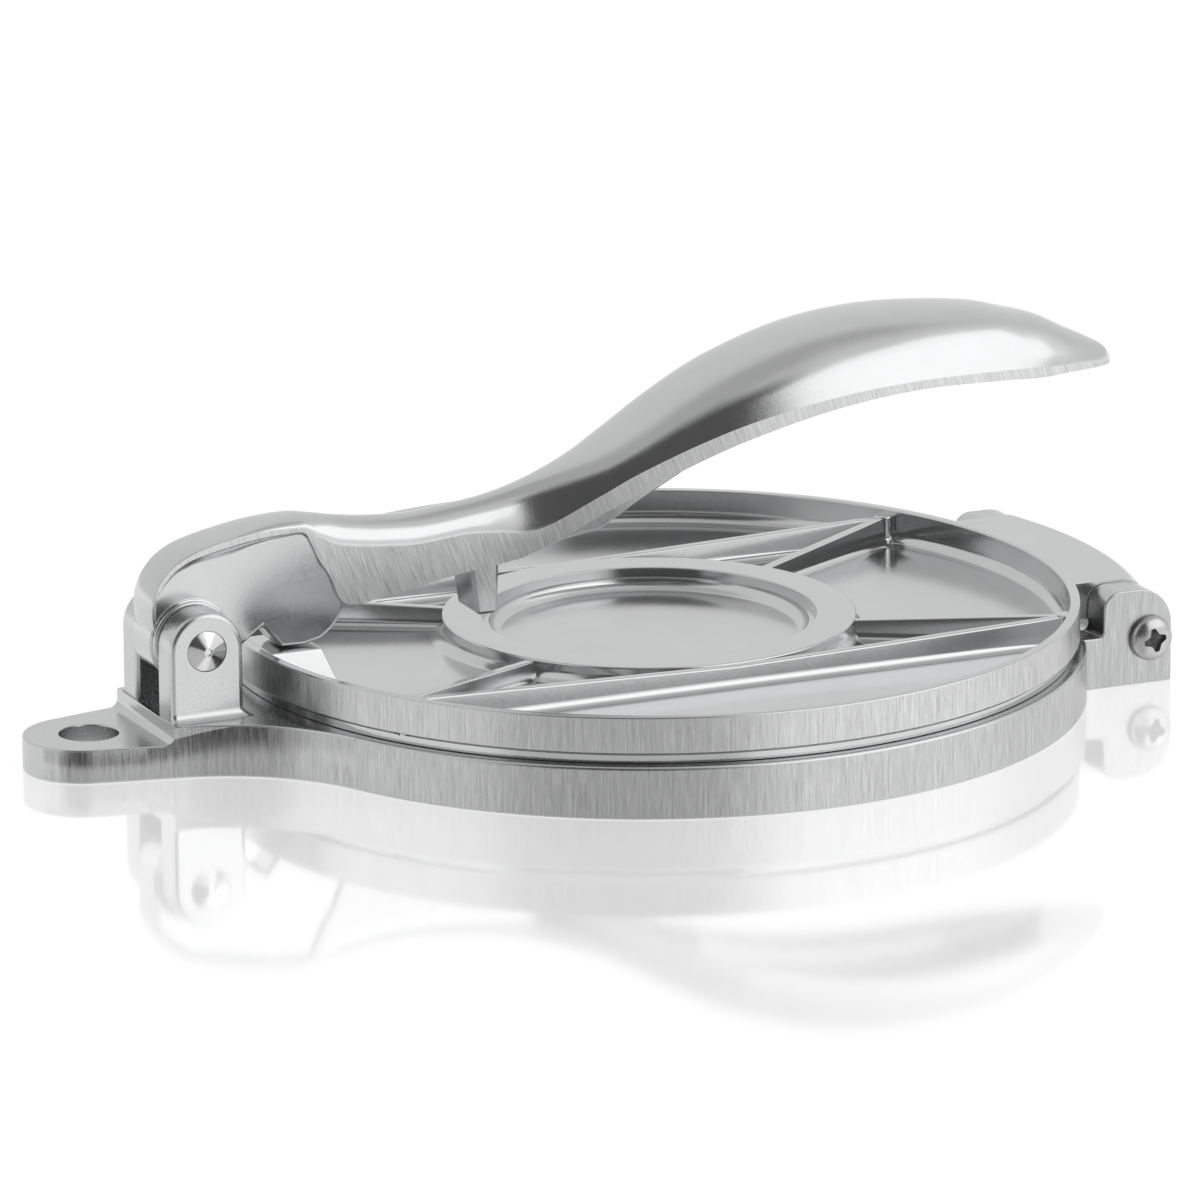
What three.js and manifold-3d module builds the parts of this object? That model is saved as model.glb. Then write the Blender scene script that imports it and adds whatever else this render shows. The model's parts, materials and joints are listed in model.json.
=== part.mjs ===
// Tortilla press: two hinged round plates and a lever, closed, in millimetres with +Z up.
// Reaches are measured from the plates' common centre: tab and lever pin lie at -X, the lid hinge at +X.
import * as THREE from "three";
import { mergeVertices } from "three/addons/utils/BufferGeometryUtils.js";
import Module from "manifold-3d";

const wasm = await Module();
wasm.setup();

// Clearances and facets
const touchGap = 0.3;
const overrun = 1;
const discSegments = 80;
const boreSegments = 24;
const arcSegments = 8;
const edgeSteps = 2;

// Base plate, its neck and its drilled tab
const plateRadius = 100;
const tabLength = 38.1;
const neckLength = 23.6;
const tabHoleInset = 0.9;
const baseHeight = 12;
const baseEdge = 0.8;
const tabHeight = 7.8;
const tabEndReach = plateRadius + tabLength;
const tabEndRadius = 14.05;
const tabFlare = THREE.MathUtils.degToRad(12.2);
const neckFillet = 45;
const neckEndReach = plateRadius + neckLength;
const stepFillet = 2;
const tabHoleReach = tabEndReach - tabHoleInset;
const tabHoleRadius = 6.72;

// Hollow underside of the base plate
const baseSkin = 4;
const baseRimWall = 4;
const baseRingInnerRadius = 39;
const baseRingOuterRadius = 46;

// Ears for the lever pin
const pinOffset = 14.4;
const pinReach = plateRadius + pinOffset;
const pinHeight = 27.65;
const pinRadius = 4.585;
const pinDish = 0.5;
const pinPipRadius = 1.1;
const pinChamfer = 0.3;
const earArchRadius = 8.75;
const earInnerFace = 6.5;
const earThickness = 8.4;
const earEdge = 1.4;
const earFootFillet = 2.2;
const earPocketDepth = 4.2;
const earPocketLip = 1.2;

// Lid hinge: lugs on the base, knuckle on the lid, two screws
const hingeOffset = 8;
const hingeReach = plateRadius + hingeOffset;
const hingeHeight = 10.8;
const lugInnerFace = 31.2;
const lugThickness = 8.4;
const lugBack = 11.7;
const lugFront = 5.6;
const lugTop = 22.4;
const lugRound = 8.7;
const lugCorner = 4.3;
const lugEdge = 0.8;
const knuckleHalfLength = 29.7;
const knuckleRadius = 6;
const knuckleEdge = 3;
const screwRadius = 2.5;
const screwHeadRadius = 5.2;
const screwHeadHeight = 2.4;
const screwHeadEdge = 1;
const screwEngagement = 11;
const crossLength = 5.6;
const crossWidth = 1.3;
const crossDepth = 1.4;

// Lid plate: pressing face, flange, rim, ring and ribs
const lidBottom = baseHeight + touchGap;
const platenInset = 2.8;
const platenDepth = 2.2;
const flangeInset = 1.6;
const flangeHeight = 8.4;
const rimWall = 2.4;
const rimEdge = 0.7;
const lidThickness = 2.7;
const footFillet = 3;
const ringInnerRadius = 38.2;
const ringOuterRadius = 47.3;
const ringHeight = 4.7;
const ringLedge = 1.6;
const ringLedgeHeight = 2.9;
const ribWidth = 3.5;
const ribOffset = 48.1;
const shortRibAngle = THREE.MathUtils.degToRad(31.6);
const ribLowHeight = 4.3;
const ribHighHeight = 6.3;
const nodeInset = 0.6;
const nodeRadius = 4;
const nodeHeight = 6.5;
const blockLength = 14.4;
const blockHalfWidth = 8;
const blockHeight = 7.8;
const blockFootRun = 3;

// Lever: head on the pin, arm, post and domed handle
const leverHalfWidth = 6.2;
const cheekRecess = 1.1;
const bossRadius = 9.25;
const headReach = 36;
const headRise = 25.4;
const handleOverhang = 17;
const leverRise = 58.5;
const handleHalfWidth = 21;
const handleWall = 2.6;
const postSpan = 70.2;
const postTopWidth = 6.4;
const postFootWidth = 5.3;
const postFootHeight = 25.4;
const postTopHeight = 40;
const postEdge = 0.8;
const webHalfWidth = 1.6;
const leverStations = 40;
const leverSides = 24;

// Worked out from the sizes above
const handleTipReach = plateRadius + handleOverhang;
const leverReach = pinReach + handleTipReach;
const platenRadius = plateRadius - platenInset;
const flangeRadius = plateRadius - flangeInset;
const rimInnerRadius = flangeRadius - rimWall;
const nodeReach = Math.sqrt((rimInnerRadius - nodeInset) ** 2 - ribOffset ** 2);
const lugStartReach = hingeReach - lugBack;
const lugEndReach = hingeReach + lugFront;
const frameShift = (tabEndReach + tabEndRadius - handleTipReach) / 2;
const flangeBottom = lidBottom + platenDepth;
const flangeTop = flangeBottom + flangeHeight;
const lidFloor = lidBottom + lidThickness;
const earOuterFace = earInnerFace + earThickness;
const lugOuterFace = lugInnerFace + lugThickness;
const lugRootReach = Math.sqrt((plateRadius - baseRimWall) ** 2 - lugOuterFace ** 2);
const knuckleRootReach = Math.sqrt(rimInnerRadius ** 2 - knuckleHalfLength ** 2) - overrun;

// Head outline about the pin: back, top, arm end, lobe, notch and underside, as reach and rise shares
const headBackShares = [
  [-0.257, 0], [-0.292, 0.23], [-0.292, 0.37], [-0.253, 0.52], [-0.142, 0.705],
  [0.017, 0.817], [0.286, 0.907], [0.372, 0.915],
];
const headFrontShares = [
  [0.48, 0.885], [0.76, 0.89], [0.9, 0.6], [1, 0.2], [1, 0.1],
  [0.925, 0], [0.85, -0.105], [0.765, -0.136], [0.605, -0.136],
  [0.48, 0.08], [0.34, -0.07], [0.1, -0.335],
];

// Cheek recess about the pin: strap's inner line, then the slant up to the arm
const cheekStrapShares = [
  [-0.256, 0.12], [-0.258, 0.31], [-0.237, 0.45], [-0.175, 0.59], [-0.085, 0.69],
  [0.03, 0.75], [0.19, 0.803], [0.33, 0.84], [0.46, 0.865], [0.6, 0.88], [0.765, 0.882],
];
const cheekSlantShares = [[0.81, 0.75], [0.85, 0.606], [0.928, 0.453], [1, 0.217], [1.05, 0.08]];
const cheekBelowShares = [[1.05, -0.5], [-0.29, -0.5], [-0.29, 0.04]];

// Lever stations: reach, half width, crown, shoulder and underside shares, over the head and then the arm
const headStationShares = [
  [0.373, 0.295, 0.404, 0.398, 0.386],
  [0.456, 0.295, 0.42, 0.398, 0.383],
  [0.758, 0.295, 0.434, 0.396, 0.382],
  [0.842, 0.295, 0.427, 0.357, 0.271],
  [1, 0.295, 0.409, 0.307, 0.059],
];
const armStationShares = [
  [0.049, 0.295, 0.387, 0.283, 0.083],
  [0.099, 0.295, 0.38, 0.274, 0.112],
  [0.157, 0.295, 0.396, 0.29, 0.144],
  [0.197, 0.319, 0.416, 0.287, 0.163],
  [0.244, 0.4, 0.454, 0.291, 0.208],
  [0.313, 0.562, 0.532, 0.408, 0.332],
  [0.358, 0.657, 0.611, 0.49, 0.411],
  [0.428, 0.79, 0.746, 0.592, 0.521],
  [0.499, 0.91, 0.859, 0.671, 0.611],
  [0.597, 0.995, 0.96, 0.738, 0.693],
  [0.7, 1, 0.996, 0.765, 0.729],
  [0.809, 0.895, 0.973, 0.758, 0.719],
  [0.869, 0.762, 0.936, 0.741, 0.697],
  [0.934, 0.524, 0.862, 0.724, 0.686],
  [0.969, 0.343, 0.808, 0.7, 0.674],
  [0.989, 0.19, 0.758, 0.686, 0.666],
  [1, 0.04, 0.705, 0.676, 0.661],
];
const hollowStartShare = 0.313;
const hollowEndShare = 0.959;
const webShares = [
  [0.191, 0.143], [0.234, 0.145], [0.287, 0.202], [0.338, 0.231], [0.387, 0.325],
  [0.445, 0.424], [0.468, 0.56], [0.46, 0.72], [0.313, 0.46], [0.191, 0.24],
];

// Solids from closed geometries, and back
function solidOf(geometry) {
  geometry.deleteAttribute("normal");
  geometry.deleteAttribute("uv");
  const merged = mergeVertices(geometry);
  const corners = merged.index.array;
  const kept = [];
  for (let i = 0; i < corners.length; i += 3) {
    const [a, b, c] = [corners[i], corners[i + 1], corners[i + 2]];
    if (a !== b && b !== c && c !== a) kept.push(a, b, c);
  }
  return new wasm.Manifold(new wasm.Mesh({
    numProp: 3,
    vertProperties: new Float32Array(merged.attributes.position.array),
    triVerts: new Uint32Array(kept),
  }));
}

function meshOf(name, solid, material) {
  const { numProp, vertProperties, triVerts } = solid.getMesh();
  const geometry = new THREE.BufferGeometry();
  const positions = new THREE.BufferAttribute(new Float32Array(vertProperties), numProp);
  geometry.setAttribute("position", positions);
  geometry.setIndex(new THREE.BufferAttribute(new Uint32Array(triVerts), 1));
  geometry.computeVertexNormals();
  const mesh = new THREE.Mesh(geometry, material);
  mesh.name = name;
  return mesh;
}

function union(solids) {
  return solids.reduce((whole, piece) => whole.add(piece));
}

// Turned body: [radius, height] points from the axis round to the axis, about +Z
function turned(profile, segments) {
  const points = profile.map(([radius, height]) => new THREE.Vector2(radius, height));
  const geometry = new THREE.LatheGeometry(points, segments);
  geometry.rotateX(Math.PI / 2);
  return geometry;
}

function rod(radius, bottom, top, segments) {
  return turned([[0, bottom], [radius, bottom], [radius, top], [0, top]], segments);
}

// A rod along Y, from -halfLength to halfLength
function crossRod(radius, halfLength, segments) {
  return rod(radius, -halfLength, halfLength, segments).rotateX(Math.PI / 2);
}

// Plan outline raised along Z, with rounded edges
function raised(shape, bottom, height, edge = 0) {
  const geometry = new THREE.ExtrudeGeometry(shape, {
    depth: height - 2 * edge,
    bevelEnabled: edge > 0,
    bevelSize: edge,
    bevelThickness: edge,
    bevelOffset: -edge,
    bevelSegments: edgeSteps,
    curveSegments: arcSegments,
  });
  return geometry.translate(0, 0, bottom + edge);
}

// Side outline (X, Z) widened along Y, centred on y
function widened(shape, halfWidth, edge = 0, y = 0) {
  return raised(shape, -halfWidth, 2 * halfWidth, edge).rotateX(Math.PI / 2).translate(0, y, 0);
}

function polygon(points) {
  return new THREE.Shape(points.map(([x, y]) => new THREE.Vector2(x, y)));
}

function scaledBy(shares, reach, rise) {
  return shares.map(([reachShare, riseShare]) => [reachShare * reach, riseShare * rise]);
}

// A concave quarter arc from [x, y + radius] to [x + radius, y], for a fillet in an inner corner
function concaveArc(x, y, radius, steps = 4) {
  const points = [];
  for (let i = 0; i <= steps; i += 1) {
    const angle = (i / steps) * (Math.PI / 2);
    points.push([x + radius * (1 - Math.cos(angle)), y + radius * (1 - Math.sin(angle))]);
  }
  return points;
}

// Base plan outline: the tab's round end flares out and runs through a fillet into the plate
function tabOutline() {
  const normal = new THREE.Vector2(-Math.sin(tabFlare), Math.cos(tabFlare));
  const along = new THREE.Vector2(Math.cos(tabFlare), Math.sin(tabFlare));
  const offset = normal.clone().multiplyScalar(tabEndRadius + neckFillet);
  offset.x -= tabEndReach;
  const reach = plateRadius + neckFillet;
  const projection = offset.dot(along);
  const run = -projection - Math.sqrt(projection * projection - offset.lengthSq() + reach * reach);
  const near = offset.clone().addScaledVector(along, run);
  const far = offset.clone().addScaledVector(along, -2 * projection - run);
  const centre = near.x > -tabEndReach && near.y > 0 ? near : far;
  const plateAngle = Math.atan2(-centre.y, -centre.x);
  const flareAngle = tabFlare - Math.PI / 2;
  const endAngle = tabFlare + Math.PI / 2;
  const shape = new THREE.Shape();
  shape.moveTo(0, 0);
  shape.lineTo(centre.x * plateRadius / reach, centre.y * plateRadius / reach);
  shape.absarc(centre.x, centre.y, neckFillet, plateAngle, flareAngle, true);
  shape.absarc(-tabEndReach, 0, tabEndRadius, endAngle, -endAngle, false);
  shape.absarc(centre.x, -centre.y, neckFillet, -flareAngle, -plateAngle, true);
  shape.closePath();
  return shape;
}

// Ribs in the lid: two long ones beside the ring and four slanting ones, lower towards the middle
function ribs() {
  const floor = lidFloor - overrun;
  const low = ribLowHeight + overrun;
  const high = ribHighHeight + overrun;
  const longHalf = Math.sqrt(flangeRadius ** 2 - ribOffset ** 2);
  const long = [[-longHalf, 0], [longHalf, 0], [longHalf, high], [0, low], [-longHalf, high]];
  const startX = ringOuterRadius * Math.cos(shortRibAngle);
  const startY = ringOuterRadius * Math.sin(shortRibAngle);
  const slant = Math.atan2(ribOffset - startY, nodeReach - startX);
  const run = (nodeReach - startX) / Math.cos(slant);
  const short = [[-ribWidth, 0], [run, 0], [run, high], [-ribWidth, low]];
  const bars = [];
  for (const side of [-1, 1]) {
    bars.push(solidOf(widened(polygon(long), ribWidth / 2, 0, side * ribOffset).translate(0, 0, floor)));
    for (const end of [-1, 1]) {
      const bar = widened(polygon(short), ribWidth / 2).rotateZ(slant);
      bar.translate(startX, startY, floor);
      bar.rotateZ(end < 0 ? Math.PI : 0);
      bars.push(side * end > 0 ? solidOf(bar) : solidOf(bar).mirror([0, 1, 0]));
    }
  }
  return union(bars);
}

// Base casting
function baseUnderside() {
  const depth = baseHeight - baseSkin;
  return solidOf(turned([
    [0, -overrun], [baseRingInnerRadius, -overrun], [baseRingInnerRadius, depth], [0, depth],
  ], discSegments)).add(solidOf(turned([
    [baseRingOuterRadius, -overrun], [plateRadius - baseRimWall, -overrun],
    [plateRadius - baseRimWall, depth], [baseRingOuterRadius, depth], [baseRingOuterRadius, -overrun],
  ], discSegments)));
}

function ears() {
  const footX = earArchRadius + earFootFillet;
  const shape = new THREE.Shape();
  shape.moveTo(-earArchRadius, tabHeight);
  shape.lineTo(footX, tabHeight);
  shape.lineTo(footX, baseHeight);
  shape.absarc(footX, baseHeight + earFootFillet, earFootFillet, -Math.PI / 2, -Math.PI, true);
  shape.absarc(0, pinHeight, earArchRadius, 0, Math.PI, false);
  shape.closePath();
  const solids = [];
  for (const side of [-1, 1]) {
    const middle = side * (earInnerFace + earThickness / 2);
    const ear = widened(shape, earThickness / 2, earEdge, middle).translate(-pinReach, 0, 0);
    solids.push(solidOf(ear));
    const foot = polygon([
      ...concaveArc(0, 0, earFootFillet), [earFootFillet, -overrun],
      [-earEdge - overrun, -overrun], [-earEdge - overrun, earFootFillet],
    ]);
    const fillet = raised(foot, -earArchRadius + earEdge, 2 * (earArchRadius - earEdge));
    fillet.rotateX(Math.PI / 2);
    fillet.rotateZ(Math.PI / 2);
    fillet.translate(-pinReach, earOuterFace, baseHeight);
    solids.push(side > 0 ? solidOf(fillet) : solidOf(fillet).mirror([0, 1, 0]));
  }
  return union(solids);
}

function lugs() {
  const shape = new THREE.Shape();
  shape.moveTo(lugRootReach, 0);
  shape.lineTo(lugEndReach, 0);
  shape.absarc(lugEndReach - lugRound, lugTop - lugRound, lugRound, 0, Math.PI / 2, false);
  shape.absarc(lugStartReach + lugCorner, lugTop - lugCorner, lugCorner, Math.PI / 2, Math.PI, false);
  shape.lineTo(lugStartReach, baseHeight);
  shape.lineTo(lugRootReach, baseHeight);
  shape.closePath();
  const solids = [];
  for (const side of [-1, 1]) {
    const middle = side * (lugInnerFace + lugThickness / 2);
    solids.push(solidOf(widened(shape, lugThickness / 2, lugEdge, middle)));
  }
  return union(solids);
}

function baseCasting() {
  const plate = turned([
    [0, 0], [plateRadius - baseEdge, 0], [plateRadius, baseEdge],
    [plateRadius, baseHeight - baseEdge], [plateRadius - baseEdge, baseHeight], [0, baseHeight],
  ], discSegments);
  const outline = tabOutline();
  const tab = solidOf(raised(outline, 0, tabHeight, baseEdge));
  const neckSide = polygon([
    [-neckEndReach, baseHeight + overrun], [-neckEndReach, baseHeight],
    ...concaveArc(0, 0, stepFillet).map(([x, z]) => [-neckEndReach - x, tabHeight + z]),
    [-neckEndReach - stepFillet, -overrun], [0, -overrun], [0, baseHeight + overrun],
  ]);
  const neck = solidOf(raised(outline, 0, baseHeight, baseEdge))
    .intersect(solidOf(widened(neckSide, plateRadius)));
  const pocketLength = neckEndReach - earPocketLip - (pinReach - earArchRadius);
  const pocketBox = new THREE.BoxGeometry(pocketLength, 2 * earInnerFace, earPocketDepth + overrun);
  pocketBox.translate(
    -neckEndReach + earPocketLip + pocketLength / 2, 0, baseHeight + (overrun - earPocketDepth) / 2);
  const pinBore = crossRod(pinRadius + touchGap, earOuterFace + overrun, boreSegments);
  pinBore.translate(-pinReach, 0, pinHeight);
  const screwBore = crossRod(screwRadius + touchGap, lugOuterFace + overrun, boreSegments);
  screwBore.translate(hingeReach, 0, hingeHeight);
  const tabHole = rod(tabHoleRadius, -overrun, tabHeight + overrun, boreSegments);
  tabHole.translate(-tabHoleReach, 0, 0);
  const plateCore = rod(plateRadius, -overrun, baseHeight + overrun, discSegments);
  return union([solidOf(plate), tab, neck, ears(), lugs()])
    .subtract(baseUnderside())
    .subtract(solidOf(pocketBox))
    .subtract(solidOf(pinBore))
    .subtract(solidOf(screwBore).subtract(solidOf(plateCore)))
    .subtract(solidOf(tabHole));
}

// Lid casting
function lidPlate() {
  const ringTop = lidFloor + ringHeight;
  const rimFoot = concaveArc(0, 0, footFillet).map(([x, z]) => [rimInnerRadius - x, lidFloor + z]);
  const ringFoot = concaveArc(0, 0, footFillet).map(([x, z]) => [ringOuterRadius + x, lidFloor + z]);
  const ledgeRadius = ringInnerRadius - ringLedge;
  const ledgeHeight = lidFloor + ringLedgeHeight;
  const ledgeFoot = concaveArc(0, 0, ringLedgeHeight)
    .map(([x, z]) => [ledgeRadius - x, lidFloor + z]);
  return turned([
    [0, lidBottom], [platenRadius, lidBottom], [platenRadius, flangeBottom],
    [flangeRadius - rimEdge, flangeBottom], [flangeRadius, flangeBottom + rimEdge],
    [flangeRadius, flangeTop - rimEdge], [flangeRadius - rimEdge, flangeTop],
    [rimInnerRadius + rimEdge, flangeTop], [rimInnerRadius, flangeTop - rimEdge],
    ...rimFoot, ...ringFoot.reverse(),
    [ringOuterRadius, ringTop - rimEdge], [ringOuterRadius - rimEdge, ringTop],
    [ringInnerRadius + rimEdge, ringTop], [ringInnerRadius, ringTop - rimEdge],
    [ringInnerRadius, ledgeHeight], ...ledgeFoot, [0, lidFloor],
  ], discSegments);
}

function knuckle() {
  const outer = hingeReach + knuckleRadius;
  const corner = [];
  for (let i = 0; i <= edgeSteps + 1; i += 1) {
    const angle = (i / (edgeSteps + 1)) * (Math.PI / 2);
    corner.push([
      outer - knuckleEdge * (1 - Math.cos(angle)), flangeTop - knuckleEdge * (1 - Math.sin(angle))]);
  }
  const cap = turned([
    [0, flangeBottom], [outer, flangeBottom], ...corner, [0, flangeTop],
  ], discSegments);
  const spanLength = outer - knuckleRootReach + overrun;
  const span = new THREE.BoxGeometry(spanLength, 2 * knuckleHalfLength, flangeTop - hingeHeight + overrun);
  span.translate(
    knuckleRootReach + spanLength / 2, 0, (hingeHeight + flangeTop + overrun) / 2);
  const insideRim = rod(flangeRadius - rimWall / 2, lidBottom, flangeTop + overrun, discSegments);
  const top = solidOf(cap).intersect(solidOf(span)).subtract(solidOf(insideRim));
  const webShape = polygon([
    [hingeReach - knuckleRadius, hingeHeight], [hingeReach + knuckleRadius, hingeHeight],
    [hingeReach + knuckleRadius, flangeBottom + overrun],
    [hingeReach - knuckleRadius, flangeBottom + overrun],
  ]);
  const webDisc = rod(outer, hingeHeight - overrun, flangeTop, discSegments);
  const web = solidOf(widened(webShape, knuckleHalfLength)).intersect(solidOf(webDisc));
  const barrel = crossRod(knuckleRadius, knuckleHalfLength, boreSegments);
  barrel.translate(hingeReach, 0, hingeHeight);
  return union([top, web, solidOf(barrel)]);
}

function lidCasting() {
  const withinRim = solidOf(rod(flangeRadius - rimWall / 2, lidBottom, flangeTop, discSegments));
  const aroundRing = solidOf(rod(ringInnerRadius + rimEdge, lidBottom, flangeTop, discSegments));
  const nodes = [];
  for (const x of [-nodeReach, nodeReach]) {
    for (const y of [-ribOffset, ribOffset]) {
      const node = rod(nodeRadius, lidFloor - overrun, lidFloor + nodeHeight, boreSegments);
      nodes.push(solidOf(node.translate(x, y, 0)));
    }
  }
  const blockFace = flangeRadius - blockLength;
  const blockShape = polygon([
    [-flangeRadius, lidFloor - overrun], [-blockFace + blockFootRun, lidFloor - overrun],
    [-blockFace + blockFootRun, lidFloor], [-blockFace, lidFloor + blockHeight],
    [-flangeRadius, lidFloor + blockHeight],
  ]);
  const block = solidOf(widened(blockShape, blockHalfWidth, 0));
  const screwBore = crossRod(screwRadius + touchGap, knuckleHalfLength + overrun, boreSegments);
  screwBore.translate(hingeReach, 0, hingeHeight);
  const boreEnd = knuckleHalfLength - screwEngagement - overrun;
  const boreCore = crossRod(knuckleRadius, boreEnd, boreSegments);
  boreCore.translate(hingeReach, 0, hingeHeight);
  const inner = union([ribs().subtract(aroundRing), ...nodes, block]).intersect(withinRim);
  return union([solidOf(lidPlate()), inner, knuckle()])
    .subtract(solidOf(screwBore).subtract(solidOf(boreCore)));
}

// Lever casting
function leverCurves() {
  const armReach = leverReach - headReach;
  const stations = [
    ...headStationShares.map(([share, ...sizes]) => [share * headReach, ...sizes]),
    ...armStationShares.map(([share, ...sizes]) => [headReach + share * armReach, ...sizes]),
  ];
  const column = (index, size) => new THREE.SplineCurve(
    stations.map((row) => new THREE.Vector2(row[0], row[index] * size)));
  return {
    halfWidth: column(1, handleHalfWidth),
    crown: column(2, leverRise),
    shoulder: column(3, leverRise),
    underside: column(4, leverRise),
  };
}

// Domed section swept from start to end of the curves: a half ellipse over an upright band
function sweptDome(curves, start, end, inset, drop) {
  const geometry = new THREE.CylinderGeometry(1, 1, 1, leverSides, leverStations);
  const position = geometry.attributes.position;
  for (let i = 0; i < position.count; i += 1) {
    const side = position.getX(i);
    const up = position.getZ(i);
    const share = start + (end - start) * (0.5 - position.getY(i));
    const reach = curves.crown.getPoint(share).x;
    const halfWidth = curves.halfWidth.getPoint(share).y - inset;
    const crown = curves.crown.getPoint(share).y - inset;
    const shoulder = curves.shoulder.getPoint(share).y;
    const underside = curves.underside.getPoint(share).y - drop;
    const square = up < 0 ? Math.max(Math.abs(side), Math.abs(up), Number.EPSILON) : 1;
    const height = up < 0 ? shoulder - underside : Math.max(crown - shoulder, 0);
    position.setXYZ(i, reach, (side / square) * halfWidth, shoulder + (up / square) * height);
  }
  return geometry;
}

// The spline parameter at which the lever's curves pass a reach from the pin
function parameterAt(curves, reach) {
  let [low, high] = [0, 1];
  while (high - low > Number.EPSILON * leverStations) {
    const middle = (low + high) / 2;
    if (curves.crown.getPoint(middle).x < reach) low = middle;
    else high = middle;
  }
  return low;
}

function leverHead() {
  const back = scaledBy(headBackShares, headReach, headRise).map(([x, z]) => new THREE.Vector2(x, z));
  const outline = new THREE.Shape(new THREE.SplineCurve(back).getPoints(2 * back.length));
  for (const [x, z] of scaledBy(headFrontShares, headReach, headRise)) outline.lineTo(x, z);
  outline.closePath();
  const strap = scaledBy(cheekStrapShares, headReach, headRise).map(([x, z]) => new THREE.Vector2(x, z));
  const cheek = new THREE.Shape(new THREE.SplineCurve(strap).getPoints(2 * strap.length));
  const rest = [...cheekSlantShares, ...cheekBelowShares];
  for (const [x, z] of scaledBy(rest, headReach, headRise)) cheek.lineTo(x, z);
  cheek.closePath();
  const recesses = [];
  for (const side of [-1, 1]) {
    const middle = side * (leverHalfWidth - cheekRecess + overrun);
    recesses.push(solidOf(widened(cheek, overrun, 0, middle)));
  }
  const boss = solidOf(crossRod(bossRadius, leverHalfWidth, boreSegments));
  return solidOf(widened(outline, leverHalfWidth)).subtract(union(recesses)).add(boss);
}

function leverPost() {
  const x = postSpan;
  const shape = polygon([
    [x - postFootWidth / 2, postFootHeight - pinHeight], [x + postFootWidth / 2, postFootHeight - pinHeight],
    [x + postTopWidth / 2, postTopHeight - pinHeight], [x - postTopWidth / 2, postTopHeight - pinHeight],
  ]);
  return solidOf(widened(shape, leverHalfWidth, postEdge));
}

function leverCasting() {
  const curves = leverCurves();
  const body = solidOf(sweptDome(curves, 0, 1, 0, 0));
  const armReach = leverReach - headReach;
  const hollowStart = parameterAt(curves, headReach + hollowStartShare * armReach);
  const hollowEnd = parameterAt(curves, headReach + hollowEndShare * armReach);
  const hollow = solidOf(sweptDome(curves, hollowStart, hollowEnd, handleWall, overrun));
  const webOutline = scaledBy(webShares, armReach, leverRise).map(([x, z]) => [headReach + x, z]);
  const web = solidOf(widened(polygon(webOutline), webHalfWidth));
  const webRoof = solidOf(sweptDome(curves, 0, 1, handleWall / 2, handleHalfWidth));
  const bore = solidOf(crossRod(pinRadius + touchGap, leverHalfWidth + overrun, boreSegments));
  return union([body.subtract(hollow), web.intersect(webRoof), leverPost(), leverHead()])
    .subtract(bore)
    .translate([-pinReach, 0, pinHeight]);
}

// Pin and hinge screws
function leverPin() {
  const half = earOuterFace;
  const face = [
    [0, half - pinDish / 2], [pinPipRadius, half - pinDish / 2], [pinPipRadius, half - pinDish],
    [pinRadius - pinChamfer, half], [pinRadius, half - pinChamfer],
  ];
  const bottom = face.map(([radius, height]) => [radius, -height]);
  const pin = turned([...bottom, ...[...face].reverse()], boreSegments).rotateX(Math.PI / 2);
  return solidOf(pin.translate(-pinReach, 0, pinHeight));
}

function hingeScrew(side) {
  const seat = lugOuterFace + touchGap;
  const face = seat + screwHeadHeight;
  const tip = knuckleHalfLength - screwEngagement;
  const body = solidOf(turned([
    [0, tip], [screwRadius - pinChamfer, tip], [screwRadius, tip + pinChamfer], [screwRadius, seat],
    [screwHeadRadius, seat], [screwHeadRadius, face - screwHeadEdge],
    [screwHeadRadius - screwHeadEdge / 3, face - screwHeadEdge / 3],
    [screwHeadRadius - screwHeadEdge, face], [0, face],
  ], boreSegments));
  const slots = [[crossLength, crossWidth], [crossWidth, crossLength]].map(([x, y]) => {
    const slot = new THREE.BoxGeometry(x, y, 2 * crossDepth);
    return solidOf(slot.translate(0, 0, face));
  });
  const screw = body.subtract(union(slots));
  const turn = side < 0 ? 90 : -90;
  return screw.rotate([turn, 0, 0]).translate([hingeReach, 0, hingeHeight]);
}

// Materials
const castAluminium = { color: 0xbcbdbe, roughness: 0.34, metalness: 1 };
const turnedSteel = { color: 0xa3a5a7, roughness: 0.25, metalness: 1 };
const zincSteel = { color: 0x8d8f91, roughness: 0.35, metalness: 1 };

// Assembly
const press = new THREE.Group();
press.add(
  meshOf("base_casting", baseCasting(), new THREE.MeshStandardMaterial(castAluminium)),
  meshOf("lid_casting", lidCasting(), new THREE.MeshStandardMaterial(castAluminium)),
  meshOf("lever_casting", leverCasting(), new THREE.MeshStandardMaterial(castAluminium)),
  meshOf("lever_pin", leverPin(), new THREE.MeshStandardMaterial(turnedSteel)),
  meshOf("hinge_screw_front", hingeScrew(-1), new THREE.MeshStandardMaterial(zincSteel)),
  meshOf("hinge_screw_rear", hingeScrew(1), new THREE.MeshStandardMaterial(zincSteel)),
);
press.position.x = frameShift;

export default press;
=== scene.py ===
import json
import math

import bpy
from mathutils import Matrix, Vector


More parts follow.
